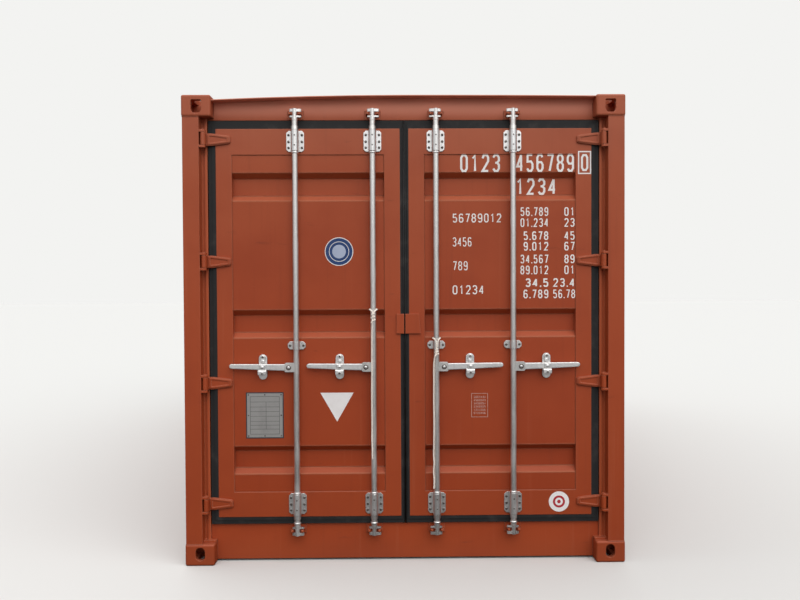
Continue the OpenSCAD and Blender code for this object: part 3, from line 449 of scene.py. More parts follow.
LEFT_ROUTE = [
    (4.6, -24.6, 1390), (7.5, -22.6, 1401), *rope_turn(1412),
    (-6.5, -22.3, 1401), (-3.8, -24.6, 1390), (-4, -24, 1370), (-5, -22.6, 1340),
    (-7, -21, 1300), (-8, -20.7, 1200), (-8.5, -20.5, 1093), (-9, -20.3, 1000),
    (-9.5, -20, 900), (-9, -20.3, 800), (-10, -19.8, 700), (-8, -20.7, 640),
    (-8.5, -20.5, 583),
]
RIGHT_ROUTE = [
    (4.8, -25.8, 1204), (5.2, -25.5, 1222), (8, -24.6, 1238), (12.5, -20, 1246),
    *rope_turn(1251), (-12, -20.3, 1246), (-6, -25.3, 1238), (-3.7, -26, 1222),
    (-3.5, -26, 1203), (-3.5, -26, 1180), (-7, -23.6, 1162), (-13, -18.5, 1135),
    (-16, -15.2, 1093), (-16.5, -14.6, 1000), (-17, -14, 900), (-16, -15.2, 780),
    (-17.5, -13.4, 660), (-18.5, -12, 600), (-16.5, -14.6, 560), (-19, -11.2, 510),
    (-16.5, -14.6, 465), (-18, -12.8, 414),
]


def smooth_route(points, x, step=3 * MM):
    """A Catmull-Rom curve through points given in mm from a rod's axis."""
    knots = [at(x + p[0], ROD_DEPTH + p[1], p[2]) for p in points]
    knots = [2 * knots[0] - knots[1], *knots, 2 * knots[-1] - knots[-2]]
    path = []
    for a, b, c, d in zip(knots, knots[1:], knots[2:], knots[3:]):
        count = max(2, round((c - b).length / step))
        for i in range(count):
            t = i / count
            path.append(0.5 * (2 * b + (c - a) * t + (2 * a - 5 * b + 4 * c - d) * t * t
                               + (3 * b - a - 3 * c + d) * t ** 3))
    path.append(knots[-2])
    return path


print("points", len(LEFT_ROUTE), len(RIGHT_ROUTE))

# %% [markdown]
# ## Laying and tying the rope
# A plain tube would look like a wire. A laid rope shows its three strands, so the
# tube's section has three lobes and turns as it goes along. The knot is a half
# hitch: turns of the same rope, pulled tight round the tail, with a short stub.

# %% Ropes and knots
ROPE_LAY = 26 * MM
STRANDS = 3
KNOT_STEPS = 72
KNOT_TURNS = 2.5
KNOT_ROPE = 6.5


def laid_tube(name, path, diameter, body):
    """A rope of twisted strands along a path."""
    def strands(i, way, angle):
        turn = 2 * math.pi * way / (ROPE_LAY * STRANDS)
        return diameter / 2 * MM * (0.9 + 0.12 * abs(math.cos(STRANDS * (angle - turn) / 2)))

    shape = ([], [])
    add_tube(shape, path, 15, strands, Vector((1, 0, 0)))
    return make_piece(name, shape, rope_material, body, smooth=True)


def rope_knot(name, centre, size, body):
    """A half hitch of a size in mm, and its stub."""
    path = []
    for i in range(KNOT_STEPS + 1):
        a = 2 * math.pi * KNOT_TURNS * i / KNOT_STEPS
        swell = 0.55 + 0.5 * i / KNOT_STEPS
        path.append(centre + Vector((size[0] * swell * math.sin(a), size[1] * math.cos(a),
                                     size[2] * (0.5 - i / KNOT_STEPS))) * MM)
    for i in range(1, 8):
        path.append(path[-1] + Vector((-1.6, -0.5, -1.2 - 0.2 * i)) * MM)
    return laid_tube(name, path, KNOT_ROPE, body)


def tie_rope(side, route, x, body, knot, size):
    """One rope with its knot, standing for its solid."""
    path = smooth_route(route, x)
    rope = laid_tube(f"tie_rope_{side}", path, ROPE_DIAMETER, body)
    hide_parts(f"rope_{side}")
    turns = rope_knot(f"tie_knot_{side}", at(x + knot[0], ROD_DEPTH + knot[1], knot[2]),
                      size, body)


tie_rope("left", LEFT_ROUTE, ROD_X[1], "rod_2", (-1, -24.6, 1374), (12, 3.6, 44))
tie_rope("right", RIGHT_ROUTE, ROD_X[2], "rod_3", (-1, -25.4, 1180), (11, 3, 34))

# %% [markdown]
# ## Oxide-red paint on steel
# Freight containers are sprayed with a semi-matt oxide-red alkyd or acrylic paint,
# which leaves an even coat without brush marks. The eye sees an orange red, darker
# near the ground and paler at the top, and part of that change with height is painted
# shade and painted light. One colour would look like plastic, so clouds half a metre wide
# vary the red, noise 30 mm wide and a metre high makes the streaks of dirty water,
# and flat patches about 150 mm wide are scuffs.


# %% The weathered red
def weathered_red(tree, height, patches, streaks, wear, foot):
    """The red from the foot to the top, with its clouds, streaks and scuffs."""
    scuffs = cloudy(tree, (150, 150, 37.5), 4)
    # The red darkens towards the foot and pales towards the top: partly painted shade and painted
    # light.
    colour = layer(tree, foot, "a84722", height, 0.3, 1.2)
    colour = layer(tree, colour, "ab5230", height, 1.1, 2.5)
    colour = layer(tree, colour, "913515", patches, 0.4, 0.7, 0.36)
    colour = layer(tree, colour, "7a3520", streaks, 0.55, 0.8, 0.22 * wear)
    colour = layer(tree, colour, "bd7052", streaks, 0.42, 0.2, 0.12)
    return layer(tree, colour, "73321f", scuffs, 0.66, 0.78, 0.35 * wear)


print("red ready")

# %% [markdown]
# ## Sun, dust, worn edges and painted highlights
# The sun turns the paint's binder to chalk, a pale pink bloom near the top, and dust
# lies on all that faces up. On the header the bloom is strong, and there it is painted
# light that undoes the shade of its lip. Gloves, ropes and neighbours rub the edges
# pale, and the pale edges are also a painted highlight where a rounded edge would
# catch the light. That could be painted by hand, but a bevel node knows where a
# surface turns: it bends the normal near an edge, so the two normals part there. A
# pressed bend is too blunt for it, so the bends are named by their heights, and the
# pale line along each is a painted highlight of its radius.


# %% Bleaching, dust and edges
def sun_dust_and_painted_light(tree, colour, height, facing_up, bleach, chalk, sky):
    """Chalk on upright faces between the two heights of sky, and dust on ledges.
    A strong chalk, as on the header, is painted light against the shade of a lip.
    """
    upright = add_node(tree, "MapRange", facing_up, 0.8, 0.5, 0.0, bleach, **SMOOTH)
    colour = layer(tree, colour, chalk, height, *sky, upright)
    return layer(tree, colour, "c9937f", facing_up, 0.15, 0.6, 0.12)


def edge_wear_and_painted_highlights(tree, colour, height, rounded, bends):
    """Pale paint on the outer edges, partly wear and partly a painted highlight, and a
    painted highlight along the bends at some heights in mm.
    """
    flat = add_node(tree, "NewGeometry", out="True Normal")
    turned = add_node(tree, "VectorMath", rounded, flat, operation="DOT_PRODUCT")
    # Pale edges: partly wear and partly a painted highlight.
    wear_and_highlight = add_node(tree, "MapRange", turned, 0.985, 0.90, 0.0, 0.4, **SMOOTH)
    # Each bend gets a pale line, a painted highlight of its radius.
    for level in bends:
        off = add_node(tree, "Math", height, level * MM, operation="SUBTRACT")
        off = add_node(tree, "Math", off, operation="ABSOLUTE")
        bend = add_node(tree, "MapRange", off, 4 * MM, 2 * MM, 0.0, 0.3, **SMOOTH)
        wear_and_highlight = add_node(tree, "Math", wear_and_highlight, bend, operation="MAXIMUM")
    return add_node(tree, "Mix", wear_and_highlight, colour, "cf8b6e", **COLOUR)


print("sun, dust and edges ready")

# %% [markdown]
# ## Chips
# A struck coat opens in chips about 7 mm wide, and the bare steel in them rusts dark
# within days. Fine noise has to pass a high mark to open a chip, and slow noise and
# the height lower that mark a little, so chips gather in zones and low down.


# %% Chips that gather in zones
def chip_openings(tree, height, wear):
    """1 where a chip is open and 0 elsewhere."""
    chips = cloudy(tree, 7, 4, 0.6)
    zones = cloudy(tree, 384.6)
    low_down = add_node(tree, "MapRange", height, 0.5, 0.05, 0.0, 0.03 * wear)
    zone = add_node(tree, "MapRange", zones, 0.5, 0.7, 0.0, 0.05 * wear, **SMOOTH)
    eased = add_node(tree, "Math", chips, zone, operation="ADD")
    eased = add_node(tree, "Math", eased, low_down, operation="ADD")
    return add_node(tree, "MapRange", eased, 0.80, 0.82, **SMOOTH)


print("chips ready")

# %% [markdown]
# ## The coat towards the cargo
# Inside, the same sheet is sprayed pale grey. A solid is one material, so the coat is
# chosen by the way a face looks. The members of a leaf are closed boxes, and their
# flanks belong to the inside only behind the pressed sheet and its troughs.

# %% Pale inside coat
BEHIND = 2.5
LEAF_RIM = 2 * MM


def behind_skin(tree, facing, place):
    """1 on the flanks of a leaf's members where they stand behind its pressed sheet."""
    x, y, z = (add_node(tree, "SeparateXYZ", place, out=axis) for axis in "XYZ")
    across = add_node(tree, "Math", x, operation="ABSOLUTE")
    skin = door_plane + (PANEL_DEPTH + BEHIND) * MM
    for middle in TROUGHS:
        inside = add_node(tree, "Math", z, middle * MM, TROUGH_HALF * MM, operation="COMPARE")
        skin = add_node(tree, "Math", inside, TROUGH_DEEP * MM, skin, operation="MULTIPLY_ADD")
    flank = add_node(tree, "Math", y, skin, operation="GREATER_THAN")
    for low, high, way in ((leaf_low.x, leaf_high.x, across), (leaf_low.z, leaf_high.z, z)):
        within = add_node(tree, "Math", way, (low + high) / 2, (high - low) / 2 - LEAF_RIM,
                          operation="COMPARE")
        flank = add_node(tree, "Math", flank, within, operation="MULTIPLY")
    not_front = add_node(tree, "Math", facing, -0.05, operation="GREATER_THAN")
    return add_node(tree, "Math", flank, not_front, operation="MULTIPLY")


def inside_coat(tree, colour, place, normal, streaks, axis, sign):
    """Pale grey where the solid's own normal faces the cargo."""
    facing = add_node(tree, "SeparateXYZ", normal, out=axis)
    facing = add_node(tree, "Math", facing, float(sign), operation="MULTIPLY")
    inner = add_node(tree, "Math", facing, 0.05, operation="GREATER_THAN")
    if (axis, sign) == ("Y", 1):
        inner = add_node(tree, "Math", inner, behind_skin(tree, facing, place),
                         operation="MAXIMUM")
    pale = layer(tree, "a9a8a2", "8f8d86", streaks, 0.45, 0.8)
    return add_node(tree, "Mix", inner, colour, pale, **COLOUR)


print("inside coat ready")

# %% [markdown]
# ## One paint, many places
# The same red is put together for every place, with a few values for what differs
# there. It is a paint, so it isn't metallic, its IOR is that of a resin, about 1.5,
# and it has gone dull. Three bumps lie over each other: soft dents in the sheet about
# 300 mm apart, the grain that a spray gun leaves, one to two millimetres, and the
# sunken chips.


# %% Paint material
def oxide_paint(tree, wear=1.0, inside=None, tint="ffffff", bends=(), bleach=0.12,
                edge=5, foot="a2421c", chalk="c0816a", sky=(2.1, 2.45), recess=0.0):
    """Oxide-red paint for one place on the container.

    inside is the axis and the sign of the normal that faces the cargo, bends are the
    heights in mm of bends that get a painted highlight, edge is the radius in mm that an
    edge seems to have, foot and chalk are the colours near the ground and where the sun
    has bleached the paint, between the two heights of sky, bleach is the share of that
    chalk, which on the header is painted light against the shade of its lip, and recess
    is paler paint in deep corners, painted light against their shade."""
    place = add_node(tree, "TexCoord", out="Object")
    normal = add_node(tree, "TexCoord", out="Normal")
    height = add_node(tree, "SeparateXYZ", place, out="Z")
    facing_up = add_node(tree, "SeparateXYZ", normal, out="Z")
    patches = cloudy(tree, 500, 4)
    streaks = cloudy(tree, (30, 30, 1111))
    grain = cloudy(tree, 1.43, 2)
    rounded = add_node(tree, "Bevel", Radius=edge * MM, samples=4)
    colour = weathered_red(tree, height, patches, streaks, wear, foot)
    colour = sun_dust_and_painted_light(tree, colour, height, facing_up, bleach, chalk, sky)
    # Paler paint in the deep corners is painted light that undoes their shade.
    if recess:
        depth = add_node(tree, "SeparateXYZ", place, out="Y")
        colour = layer(tree, colour, "dd7649", depth, door_plane + 56 * MM,
                       door_plane + 66 * MM, recess)
    colour = edge_wear_and_painted_highlights(tree, colour, height, rounded, bends)
    chip = chip_openings(tree, height, wear)
    rust = add_node(tree, "Mix", grain, "46241a", "6d3a24", **COLOUR)
    colour = add_node(tree, "Mix", chip, colour, rust, **COLOUR)
    colour = layer(tree, colour, "74513f", height, 0.2, 0.0, 0.12)
    colour = add_node(tree, "Mix", 1.0, colour, tint, blend_type="MULTIPLY", **COLOUR)
    if inside:
        colour = inside_coat(tree, colour, place, normal, streaks, *inside)
    dull = add_node(tree, "MapRange", patches, To_Min=0.45, To_Max=0.62)
    dull_chip = add_node(tree, "Math", chip, 0.9, operation="MULTIPLY")
    dull = add_node(tree, "Math", dull, dull_chip, operation="MAXIMUM")
    dents = cloudy(tree, 285.7, 2)
    bump = add_node(tree, "Bump", Strength=0.5, Distance=4 * MM, Height=dents, Normal=rounded)
    bump = add_node(tree, "Bump", Strength=0.12, Distance=0.4 * MM, Height=grain, Normal=bump)
    bump = add_node(tree, "Bump", Strength=0.5, Distance=0.5 * MM, Height=chip, Normal=bump,
                    invert=True)
    return add_node(tree, "BsdfPrincipled", colour, Roughness=dull, IOR=1.5,
                    Specular_IOR_Level=0.32, Normal=bump)


print("paint ready")

# %% [markdown]
# ## The paints of the container
# The underframe is knocked about. The header is painted paler towards its top, which is
# painted light against the shade of its lip, and the deep corners of the door posts are
# painted paler, which is painted light against the shade in them. The panels have wide
# bends, and the lower bends of each trough, which turn outwards, carry a painted
# highlight. Weld beads look a little darker.

# %% Twelve paints
LOWER_BENDS = [bend for k, bend in enumerate(BENDS) if k % len(BEND_OFFSETS) < 2]


def painted(place, **differs):
    """The red as it looks in one place."""
    return new_material(f"oxide_red_{place}", oxide_paint, **differs)


paint_body = painted("alkyd_paint")
paint_low = painted("paint_underframe", wear=1.4, tint="f4f0ee")
paint_weld = painted("paint_over_welds", wear=0.6, tint="e2dad6")
paint_leaf = painted("paint_leaf_frame", inside=("Y", 1))
# The lower bends of the panel get a painted highlight.
paint_panel = painted("paint_leaf_panel", inside=("Y", 1), bends=LOWER_BENDS, edge=12,
                      tint="faf0e2")
# The header's strong pale chalk near its top is painted light that undoes the shade of its lip.
paint_header = painted("paint_header", bleach=1.0, chalk="ec9579", sky=(2.46, 2.55))
# The posts' deep corners are painted paler: painted light that undoes their shade.
paint_post = painted("paint_door_posts", recess=0.25)
paint_sill = painted("paint_sill", foot="aa451e")
paint_left = painted("paint_left_wall", inside=("X", 1))
paint_right = painted("paint_right_wall", inside=("X", -1))
paint_end = painted("paint_end_wall", inside=("Y", -1))
paint_roof = painted("paint_roof", wear=1.3, inside=("Z", -1))
print("materials so far", len(bpy.data.materials))

# %% [markdown]
# ## Hot-dip galvanised steel
# The lock rods, guides, handles and catches are dipped in molten zinc, which freezes
# in bright crystals, called spangle, 5 to 15 mm across. Weather turns it chalky, so
# the eye sees a grey metal with dull patches and darker runs. A Voronoi pattern gives
# each crystal its own tone. Handles are touched every day and shine most.

# %% Zinc
SPANGLE = 9


def galvanised_steel(tree, pale="d9d6d2", stain="8f8b89", chalk=0.45, low="dbd8d5", edge=1):
    """Weathered zinc: a metal with a dull chalky skin in places.

    pale and low are its colours at the top and near the ground, chalk is the share of
    the chalky skin, and edge is the radius in mm that an edge seems to have."""
    place = add_node(tree, "TexCoord", out="Object")
    height = add_node(tree, "SeparateXYZ", place, out="Z")
    crystals = add_node(tree, "TexVoronoi", counted(tree, SPANGLE), Scale=1.0, out="Color")
    tone = add_node(tree, "SeparateColor", crystals)
    tone = add_node(tree, "Math", tone, 0.16, operation="MULTIPLY")
    clouds = cloudy(tree, (45.45, 45.45, 166.7), 4)
    runs = cloudy(tree, (16.67, 16.67, 333.3))
    chalky = add_node(tree, "MapRange", clouds, 0.45, 0.68, **SMOOTH)
    skin = add_node(tree, "Math", chalky, chalk, operation="MULTIPLY")
    colour = layer(tree, low, pale, height, 0.3, 2.2)
    colour = add_node(tree, "Mix", tone, colour, "96938f", **COLOUR)
    colour = layer(tree, colour, stain, runs, 0.55, 0.8, 0.4)
    colour = add_node(tree, "Mix", skin, colour, "dedad6", **COLOUR)
    metal = add_node(tree, "MapRange", chalky, To_Min=0.92, To_Max=0.72)
    dull = add_node(tree, "MapRange", clouds, To_Min=0.3, To_Max=0.42)
    grain = cloudy(tree, 2.5, 2)
    rounded = add_node(tree, "Bevel", Radius=edge * MM, samples=4)
    bump = add_node(tree, "Bump", Strength=0.1, Distance=0.3 * MM, Height=grain, Normal=rounded)
    return add_node(tree, "BsdfPrincipled", colour, metal, dull, Normal=bump)


zinc = new_material("hot_dip_galvanised_steel", galvanised_steel)
zinc_bright = new_material("fresh_zinc_on_fittings", galvanised_steel, "dcdad8", "a29e9b",
                           0.3, "e2e0de", 3)
zinc_handle = new_material("rubbed_zinc_on_handles", galvanised_steel, "f6f4f2", "bfbbb8",
                           0.5, "f0efed", 7)
print("zinc", zinc.name, zinc_bright.name, zinc_handle.name)

# %% [markdown]
# ## Bolt steel, rubber and plywood
# The bolts are rolled steel with a thin plating of zinc, gone dull and nearly black
# beside the dipped parts. The door seals are extruded EPDM rubber, near black, which
# catches dust. The floor is hardwood plywood, oiled dark and scuffed by forks, with
# its grain along the container. The grain is finer than a millimetre and is drawn
# 8 mm wide, so that it shows through the doorway.


# %% Bolt steel, rubber and plywood
def bolt_steel(tree):
    """Zinc-plated steel gone dull."""
    clouds = cloudy(tree, 11.1, 4)
    colour = layer(tree, "6e6864", "4c423c", clouds, 0.4, 0.7)
    bump = add_node(tree, "Bump", Strength=0.3, Distance=0.3 * MM, Height=clouds)
    return add_node(tree, "BsdfPrincipled", colour, 0.8, 0.5, Normal=bump)


def epdm_rubber(tree):
    """Weathered EPDM: near black, dull, with a little pale dust in patches."""
    colour = layer(tree, "201f1f", "3d3937", cloudy(tree, 83.3, 5), 0.5, 0.85)
    bump = add_node(tree, "Bump", Strength=0.3, Distance=0.3 * MM, Height=cloudy(tree, 2, 2))
    return add_node(tree, "BsdfPrincipled", colour, Roughness=0.7, IOR=1.52,
                    Specular_IOR_Level=0.3, Normal=bump)


def floor_plywood(tree):
    """Oiled hardwood plywood with dark scuffs."""
    grain = cloudy(tree, (8.33, 200, 8.33), 5)
    colour = layer(tree, "6b4a33", "9a724f", grain, 0.35, 0.7)
    colour = layer(tree, colour, "3f2e24", cloudy(tree, (111, 500, 111), 4), 0.5, 0.75, 0.6)
    bump = add_node(tree, "Bump", Strength=0.3, Distance=0.6 * MM, Height=grain)
    return add_node(tree, "BsdfPrincipled", colour, Roughness=0.6, Normal=bump)


bolts = new_material("dull_bolt_steel", bolt_steel)
rubber = new_material("epdm_rubber", epdm_rubber)
plywood = new_material("hardwood_plywood", floor_plywood)
print("more materials", bolts.name, rubber.name, plywood.name)

# %% [markdown]
# ## Dressing the solids
# Each solid keeps its shape and takes the material of the real piece. Most are in the
# body's red, so only the others are named, by a part of the name that they share.

# %% Give every solid its material
FINISH_BY_NAME = (
    ("door_posts", paint_post), ("door_header", paint_header), ("door_sill", paint_sill),
    ("front_bottom_rail", paint_low), ("bottom_side_rails", paint_low),
    ("cross_members", paint_low), ("fork_pockets", paint_low), ("threshold_plate", paint_low),
    ("left_side_wall", paint_left), ("right_side_wall", paint_right), ("end_wall", paint_end),
    ("roof_panel", paint_roof), ("door_frame", paint_leaf), ("door_panel", paint_panel),
    ("floor_boards", plywood), ("gasket", rubber), ("lock_rod", zinc),
    ("rod_guides", zinc_bright), ("handle", zinc_handle), ("hasp", zinc_handle),
)
for node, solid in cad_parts.items():
    if not node.startswith("rope_"):
        named = (finish for part, finish in FINISH_BY_NAME if part in node)
        finish = next(named, paint_body)
        solid.data.materials.clear()
        solid.data.materials.append(finish)
print("dressed", len(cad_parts) - 2)

# %% [markdown]
# ## Rounded corner castings
# All outer corners of a casting are rounded by about 10 mm, which shows in the outline
# of the door end. The solids are rounded in plan only, so each group is copied, the
# edges of its top and bottom faces are rounded, and the copy stands for the solid.

# %% Round the castings
CASTING = Vector((162, 178, 118)) * MM
CASTING_CORNER = 12 * MM
CASTING_ROUND = 10 * MM
# how far a point may lie off a face and off the outline, in metres
OFF_FACE, OFF_OUTLINE = 1e-5, 3e-5


def on_casting_rim(point):
    """Whether a point lies on the outer outline of a casting's top or bottom face."""
    bottom = 0 if point.z < cad_high.z / 2 else cad_high.z - CASTING.z
    if min(abs(point.z - bottom), abs(point.z - bottom - CASTING.z)) > OFF_FACE:
        return False
    across = abs(abs(point.x) - cad_high.x + CASTING.x / 2) - CASTING.x / 2 + CASTING_CORNER
    along = abs(abs(point.y) - cad_high.y + CASTING.y / 2) - CASTING.y / 2 + CASTING_CORNER
    off = math.hypot(max(across, 0), max(along, 0)) + min(max(across, along), 0)
    return abs(off - CASTING_CORNER) < OFF_OUTLINE


def round_castings(node):
    """A copy of the castings with rounded outer edges, standing for their solid."""
    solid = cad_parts[node]
    work = bmesh.new()
    work.from_mesh(solid.data)
    work.transform(solid.matrix_world)
    bmesh.ops.remove_doubles(work, verts=work.verts[:], dist=1e-6)
    bmesh.ops.dissolve_limit(work, angle_limit=math.radians(0.5), verts=work.verts[:],
                             edges=work.edges[:])
    outer = [e for e in work.edges if e.calc_face_angle(0) > 1.0
             and abs(e.verts[0].co.z - e.verts[1].co.z) < OFF_FACE
             and all(on_casting_rim(v.co) for v in e.verts)]
    bmesh.ops.bevel(work, geom=outer, offset=CASTING_ROUND, segments=3, profile=0.5,
                    affect="EDGES", clamp_overlap=True)
    bmesh.ops.triangulate(work, faces=[f for f in work.faces if len(f.verts) > 4])
    work.verts.index_update()
    points = [v.co.copy() for v in work.verts]
    faces = [tuple(v.index for v in f.verts) for f in work.faces]
    work.free()
    piece = make_piece(f"rounded_{node}", (points, faces), paint_body, "frame")
    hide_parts(node)
    print(piece.name, "rounded edges", len(outer), "faces", len(faces))


round_castings("top_corner_castings")
round_castings("bottom_corner_castings")

# %% [markdown]
# ## Bolts and rivets
# Every guide is held by dark bolts through its flanges, with two small rivets on its
# sleeve. The hub of each rod carries its handle on a pin with a bright head in a dark
# washer, and three rings keep each rod from sliding. Such domes matter only to the
# eye, so they are spun here over the plain heads of the solids.

# %% Bolts and rivets of the guides
BOLT_HEAD = [(6.8, 0), (6.8, 4.1), (6.0, 5.1), (3.4, 5.8), (0.6, 6.0)]
RIVET_HEAD = [(4.2, 0), (4.0, 1.0), (2.8, 1.9), (0.5, 2.3)]
BOLT_ACROSS = (-37, 37)
BOLT_UP = (-36, -3, 34)
RIVET_UP = (-26, 28)
GUIDE_FACE = LEAF_DEPTH - 6
SLEEVE_FACE = ROD_DEPTH - 21.2
NO_MIDDLE_GUIDE = ROD_X[1]
for side, sign in SIDES.items():
    heads, rivets = ([], []), ([], [])
    for x in [x for x in ROD_X if x * sign > 0]:
        for z in GUIDE_Z:
            for up in BOLT_UP:
                for across in BOLT_ACROSS:
                    spin(heads, at(x + across, GUIDE_FACE, z + up), BOLT_HEAD)
            for up in RIVET_UP:
                spin(rivets, at(x, SLEEVE_FACE, z + up), RIVET_HEAD, 16)
        if x != NO_MIDDLE_GUIDE:
            for across in BOLT_ACROSS:
                spin(heads, at(x + across, GUIDE_FACE, MIDDLE_GUIDE_Z), BOLT_HEAD)
    make_piece(f"guide_bolts_{side}", heads, bolts, f"{side}_door")
    make_piece(f"sleeve_rivets_{side}", rivets, bolts, f"{side}_door")
print("guide bolts and rivets made")

# %% Pins and rings of the rods
PIN_WASHER = [(13.7, 0), (13.7, 2.2), (11.9, 3.5), (9.2, 3.7)]
PIN_HEAD = [(8.6, 0), (8.6, 3.6), (7.4, 5.2), (4.0, 6.2), (0.6, 6.4)]
RING = [(18.6, -0.3), (19.5, 0.9), (19.5, 9.1), (18.6, 10.3)]
RING_Z = (GUIDE_Z[0] + 60, GUIDE_Z[1] - 70, 220)
HUB_FACE = ROD_DEPTH - 13
PIN_FROM_ROD = 42
UPWARD = Vector((0, 0, 1))
for k, x in enumerate(ROD_X, start=1):
    washer, head = ([], []), ([], [])
    pin = at(x + math.copysign(PIN_FROM_ROD, x), HUB_FACE, HANDLE_Z)
    spin(washer, pin, PIN_WASHER, 28)
    spin(head, pin, PIN_HEAD, 28)
    make_piece(f"pin_washer_{k}", washer, bolts, f"rod_{k}")
    make_piece(f"pin_head_{k}", head, zinc_bright, f"rod_{k}")
for k, x in enumerate(ROD_X, start=1):
    rings = ([], [])
    for z in RING_Z:
        spin(rings, at(x, ROD_DEPTH, z), RING, 36, UPWARD)
    make_piece(f"rod_rings_{k}", rings, zinc_handle, f"rod_{k}", smooth=True)
print("pins and rings made")

# %% [markdown]
# The plate of each catch carries its hasp on a rivet, and the cup below the handle has
# a hole for a seal's pin: dark spots with a bright rim. The dark spot in the cup is
# painted shade, a dark head that stands for the shadow in the hole. Where the handle
# crosses the catch, a boss with a domed head keeps the hasp from rattling.

# %% Heads on the catches and handles
CATCH_X = 188
# The first spot is the plate's rivet; the second, in the cup, is painted shade for the hole.
CATCH_RIVET_AND_HOLE_SHADE_SPOTS = ((LEAF_DEPTH - 13.2, 1150), (12, 1062))
RIM = [(8.8, 0), (8.8, 1.0), (7.6, 1.8), (5.6, 1.9)]
SPOT = [(5.4, 0), (5.4, 2.0), (3.4, 2.6), (0.5, 2.8)]
BOSS = [(9.5, 0), (9.5, 1.5), (7.5, 3.2), (4, 4.2), (0.6, 4.5)]
for side, sign in SIDES.items():
    rims, spots = ([], []), ([], [])
    for x in [x for x in ROD_X if x * sign > 0]:
        for depth, z in CATCH_RIVET_AND_HOLE_SHADE_SPOTS:
            spin(rims, at(x + sign * CATCH_X, depth, z), RIM, 24)
            spin(spots, at(x + sign * CATCH_X, depth, z), SPOT, 24)
    make_piece(f"catch_rims_{side}", rims, zinc_bright, f"{side}_door")
    make_piece(f"catch_rivets_and_hole_shade_{side}", spots, bolts, f"{side}_door")
for k, x in enumerate(ROD_X, start=1):
    head = ([], [])
    spin(head, at(x + math.copysign(CATCH_X, x), HUB_FACE, HANDLE_Z + 2), BOSS, 28)
    make_piece(f"handle_boss_{k}", head, zinc_bright, f"handle_{k}")
print("heads on catches made")

# %% [markdown]
# ## Weld beads
# A container is welded from sheet and plate, and painted beads about 5 mm across show
# at every joint: round the door panels, at the castings, along the hinge ears and
# round the keepers. A bead is a rippled tube sunk in the joint.

# %% Beads round the door panels
for side, sign in SIDES.items():
    beads = ([], [])
    x0, x1 = (sign * x for x in PANEL_X)
    z0, z1 = PANEL_Z
    for x, inward in ((x0, sign), (x1, -sign)):
        levels = (z0, *BENDS, z1 - 0.5)
        add_bead(beads, [at(x, leaf_relief(x + inward, z) - 0.2, z) for z in levels])
    for z in (z0, z1):
        add_bead(beads, [at(x0, PANEL_DEPTH - 0.3, z), at(x1, PANEL_DEPTH - 0.3, z)])
    make_piece(f"panel_welds_{side}", beads, paint_weld, f"{side}_door",
               smooth=True)
print("panel beads made")

# %% Beads of the door end
CASTING_SEAMS = (118, 2473)
POST_FACE = (1124, 1212)
POST_FRONT, POST_SIDE, POST_BACK = 5.5, 1213.5, 170
EAR_SEAMS = (-48.5, -35.5, 35.5, 48.5)
EAR_DEPTHS = (8, 32)
RECESS_DEPTH = 82
RECESS_SEAMS = ((1057, 30, 116), (1057, 2476, 2560), (1090, 132, 208))
KEEPER_Z = (183.2, 2490.8)
KEEPER_OUTLINE = ((-44, -25), (44, -25), (44, 25), (-44, 25), (-44, -25))
beads = ([], [])
for sign in SIDES.values():
    for z in CASTING_SEAMS:
        add_bead(beads, [at(sign * x, POST_FRONT, z) for x in POST_FACE], 3)
        add_bead(beads, [at(sign * POST_SIDE, depth, z) for depth in (8, POST_BACK)], 3)
    for z in HINGE_Z:
        for up in EAR_SEAMS:
            add_bead(beads, [at(sign * POST_FACE[0], depth, z + up) for depth in EAR_DEPTHS], 2)
    for x, *ends in RECESS_SEAMS:
        add_bead(beads, [at(sign * x, RECESS_DEPTH, z) for z in ends], 3)
for x in ROD_X:
    for z in KEEPER_Z:
        corners = [at(x + across, RECESS_DEPTH - 0.4, z + up) for across, up in KEEPER_OUTLINE]
        add_bead(beads, corners, 2)
make_piece("door_end_welds", beads, paint_weld, "frame", smooth=True)
print("door end beads made")

# %% [markdown]
# The seals of the two leaves meet in the middle with a round lip each, which nearly
# closes the gap between them.

# %% Lips of the seals
LIP_RADIUS = 3
for side, sign in SIDES.items():
    seal_low, seal_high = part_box(f"{side}_door_gasket")
    meet = min(abs(seal_low.x), abs(seal_high.x)) / MM
    depth = (seal_low.y - door_plane) / MM + LIP_RADIUS
    lip = ([], [])
    profile = [(LIP_RADIUS, 0), (LIP_RADIUS, (seal_high.z - seal_low.z) / MM)]
    spin(lip, at(sign * (meet + 0.5), depth, seal_low.z / MM), profile, 14, UPWARD)
    make_piece(f"seal_lip_{side}", lip, rubber, f"{side}_door", smooth=True)
print("seal lips made, meeting", round(meet, 1))

# %% [markdown]
# ## Markings
# The real container carries letters, a number, weights and round labels. They stand
# here as plain digits and rings that say nothing, with their size, place and stroke.
# A digit is a bent line in a unit box, drawn with an even stroke as a stencil gives.
# One that would touch itself is two lines, the second a hair higher than the first,
# and a nine is a six turned over.

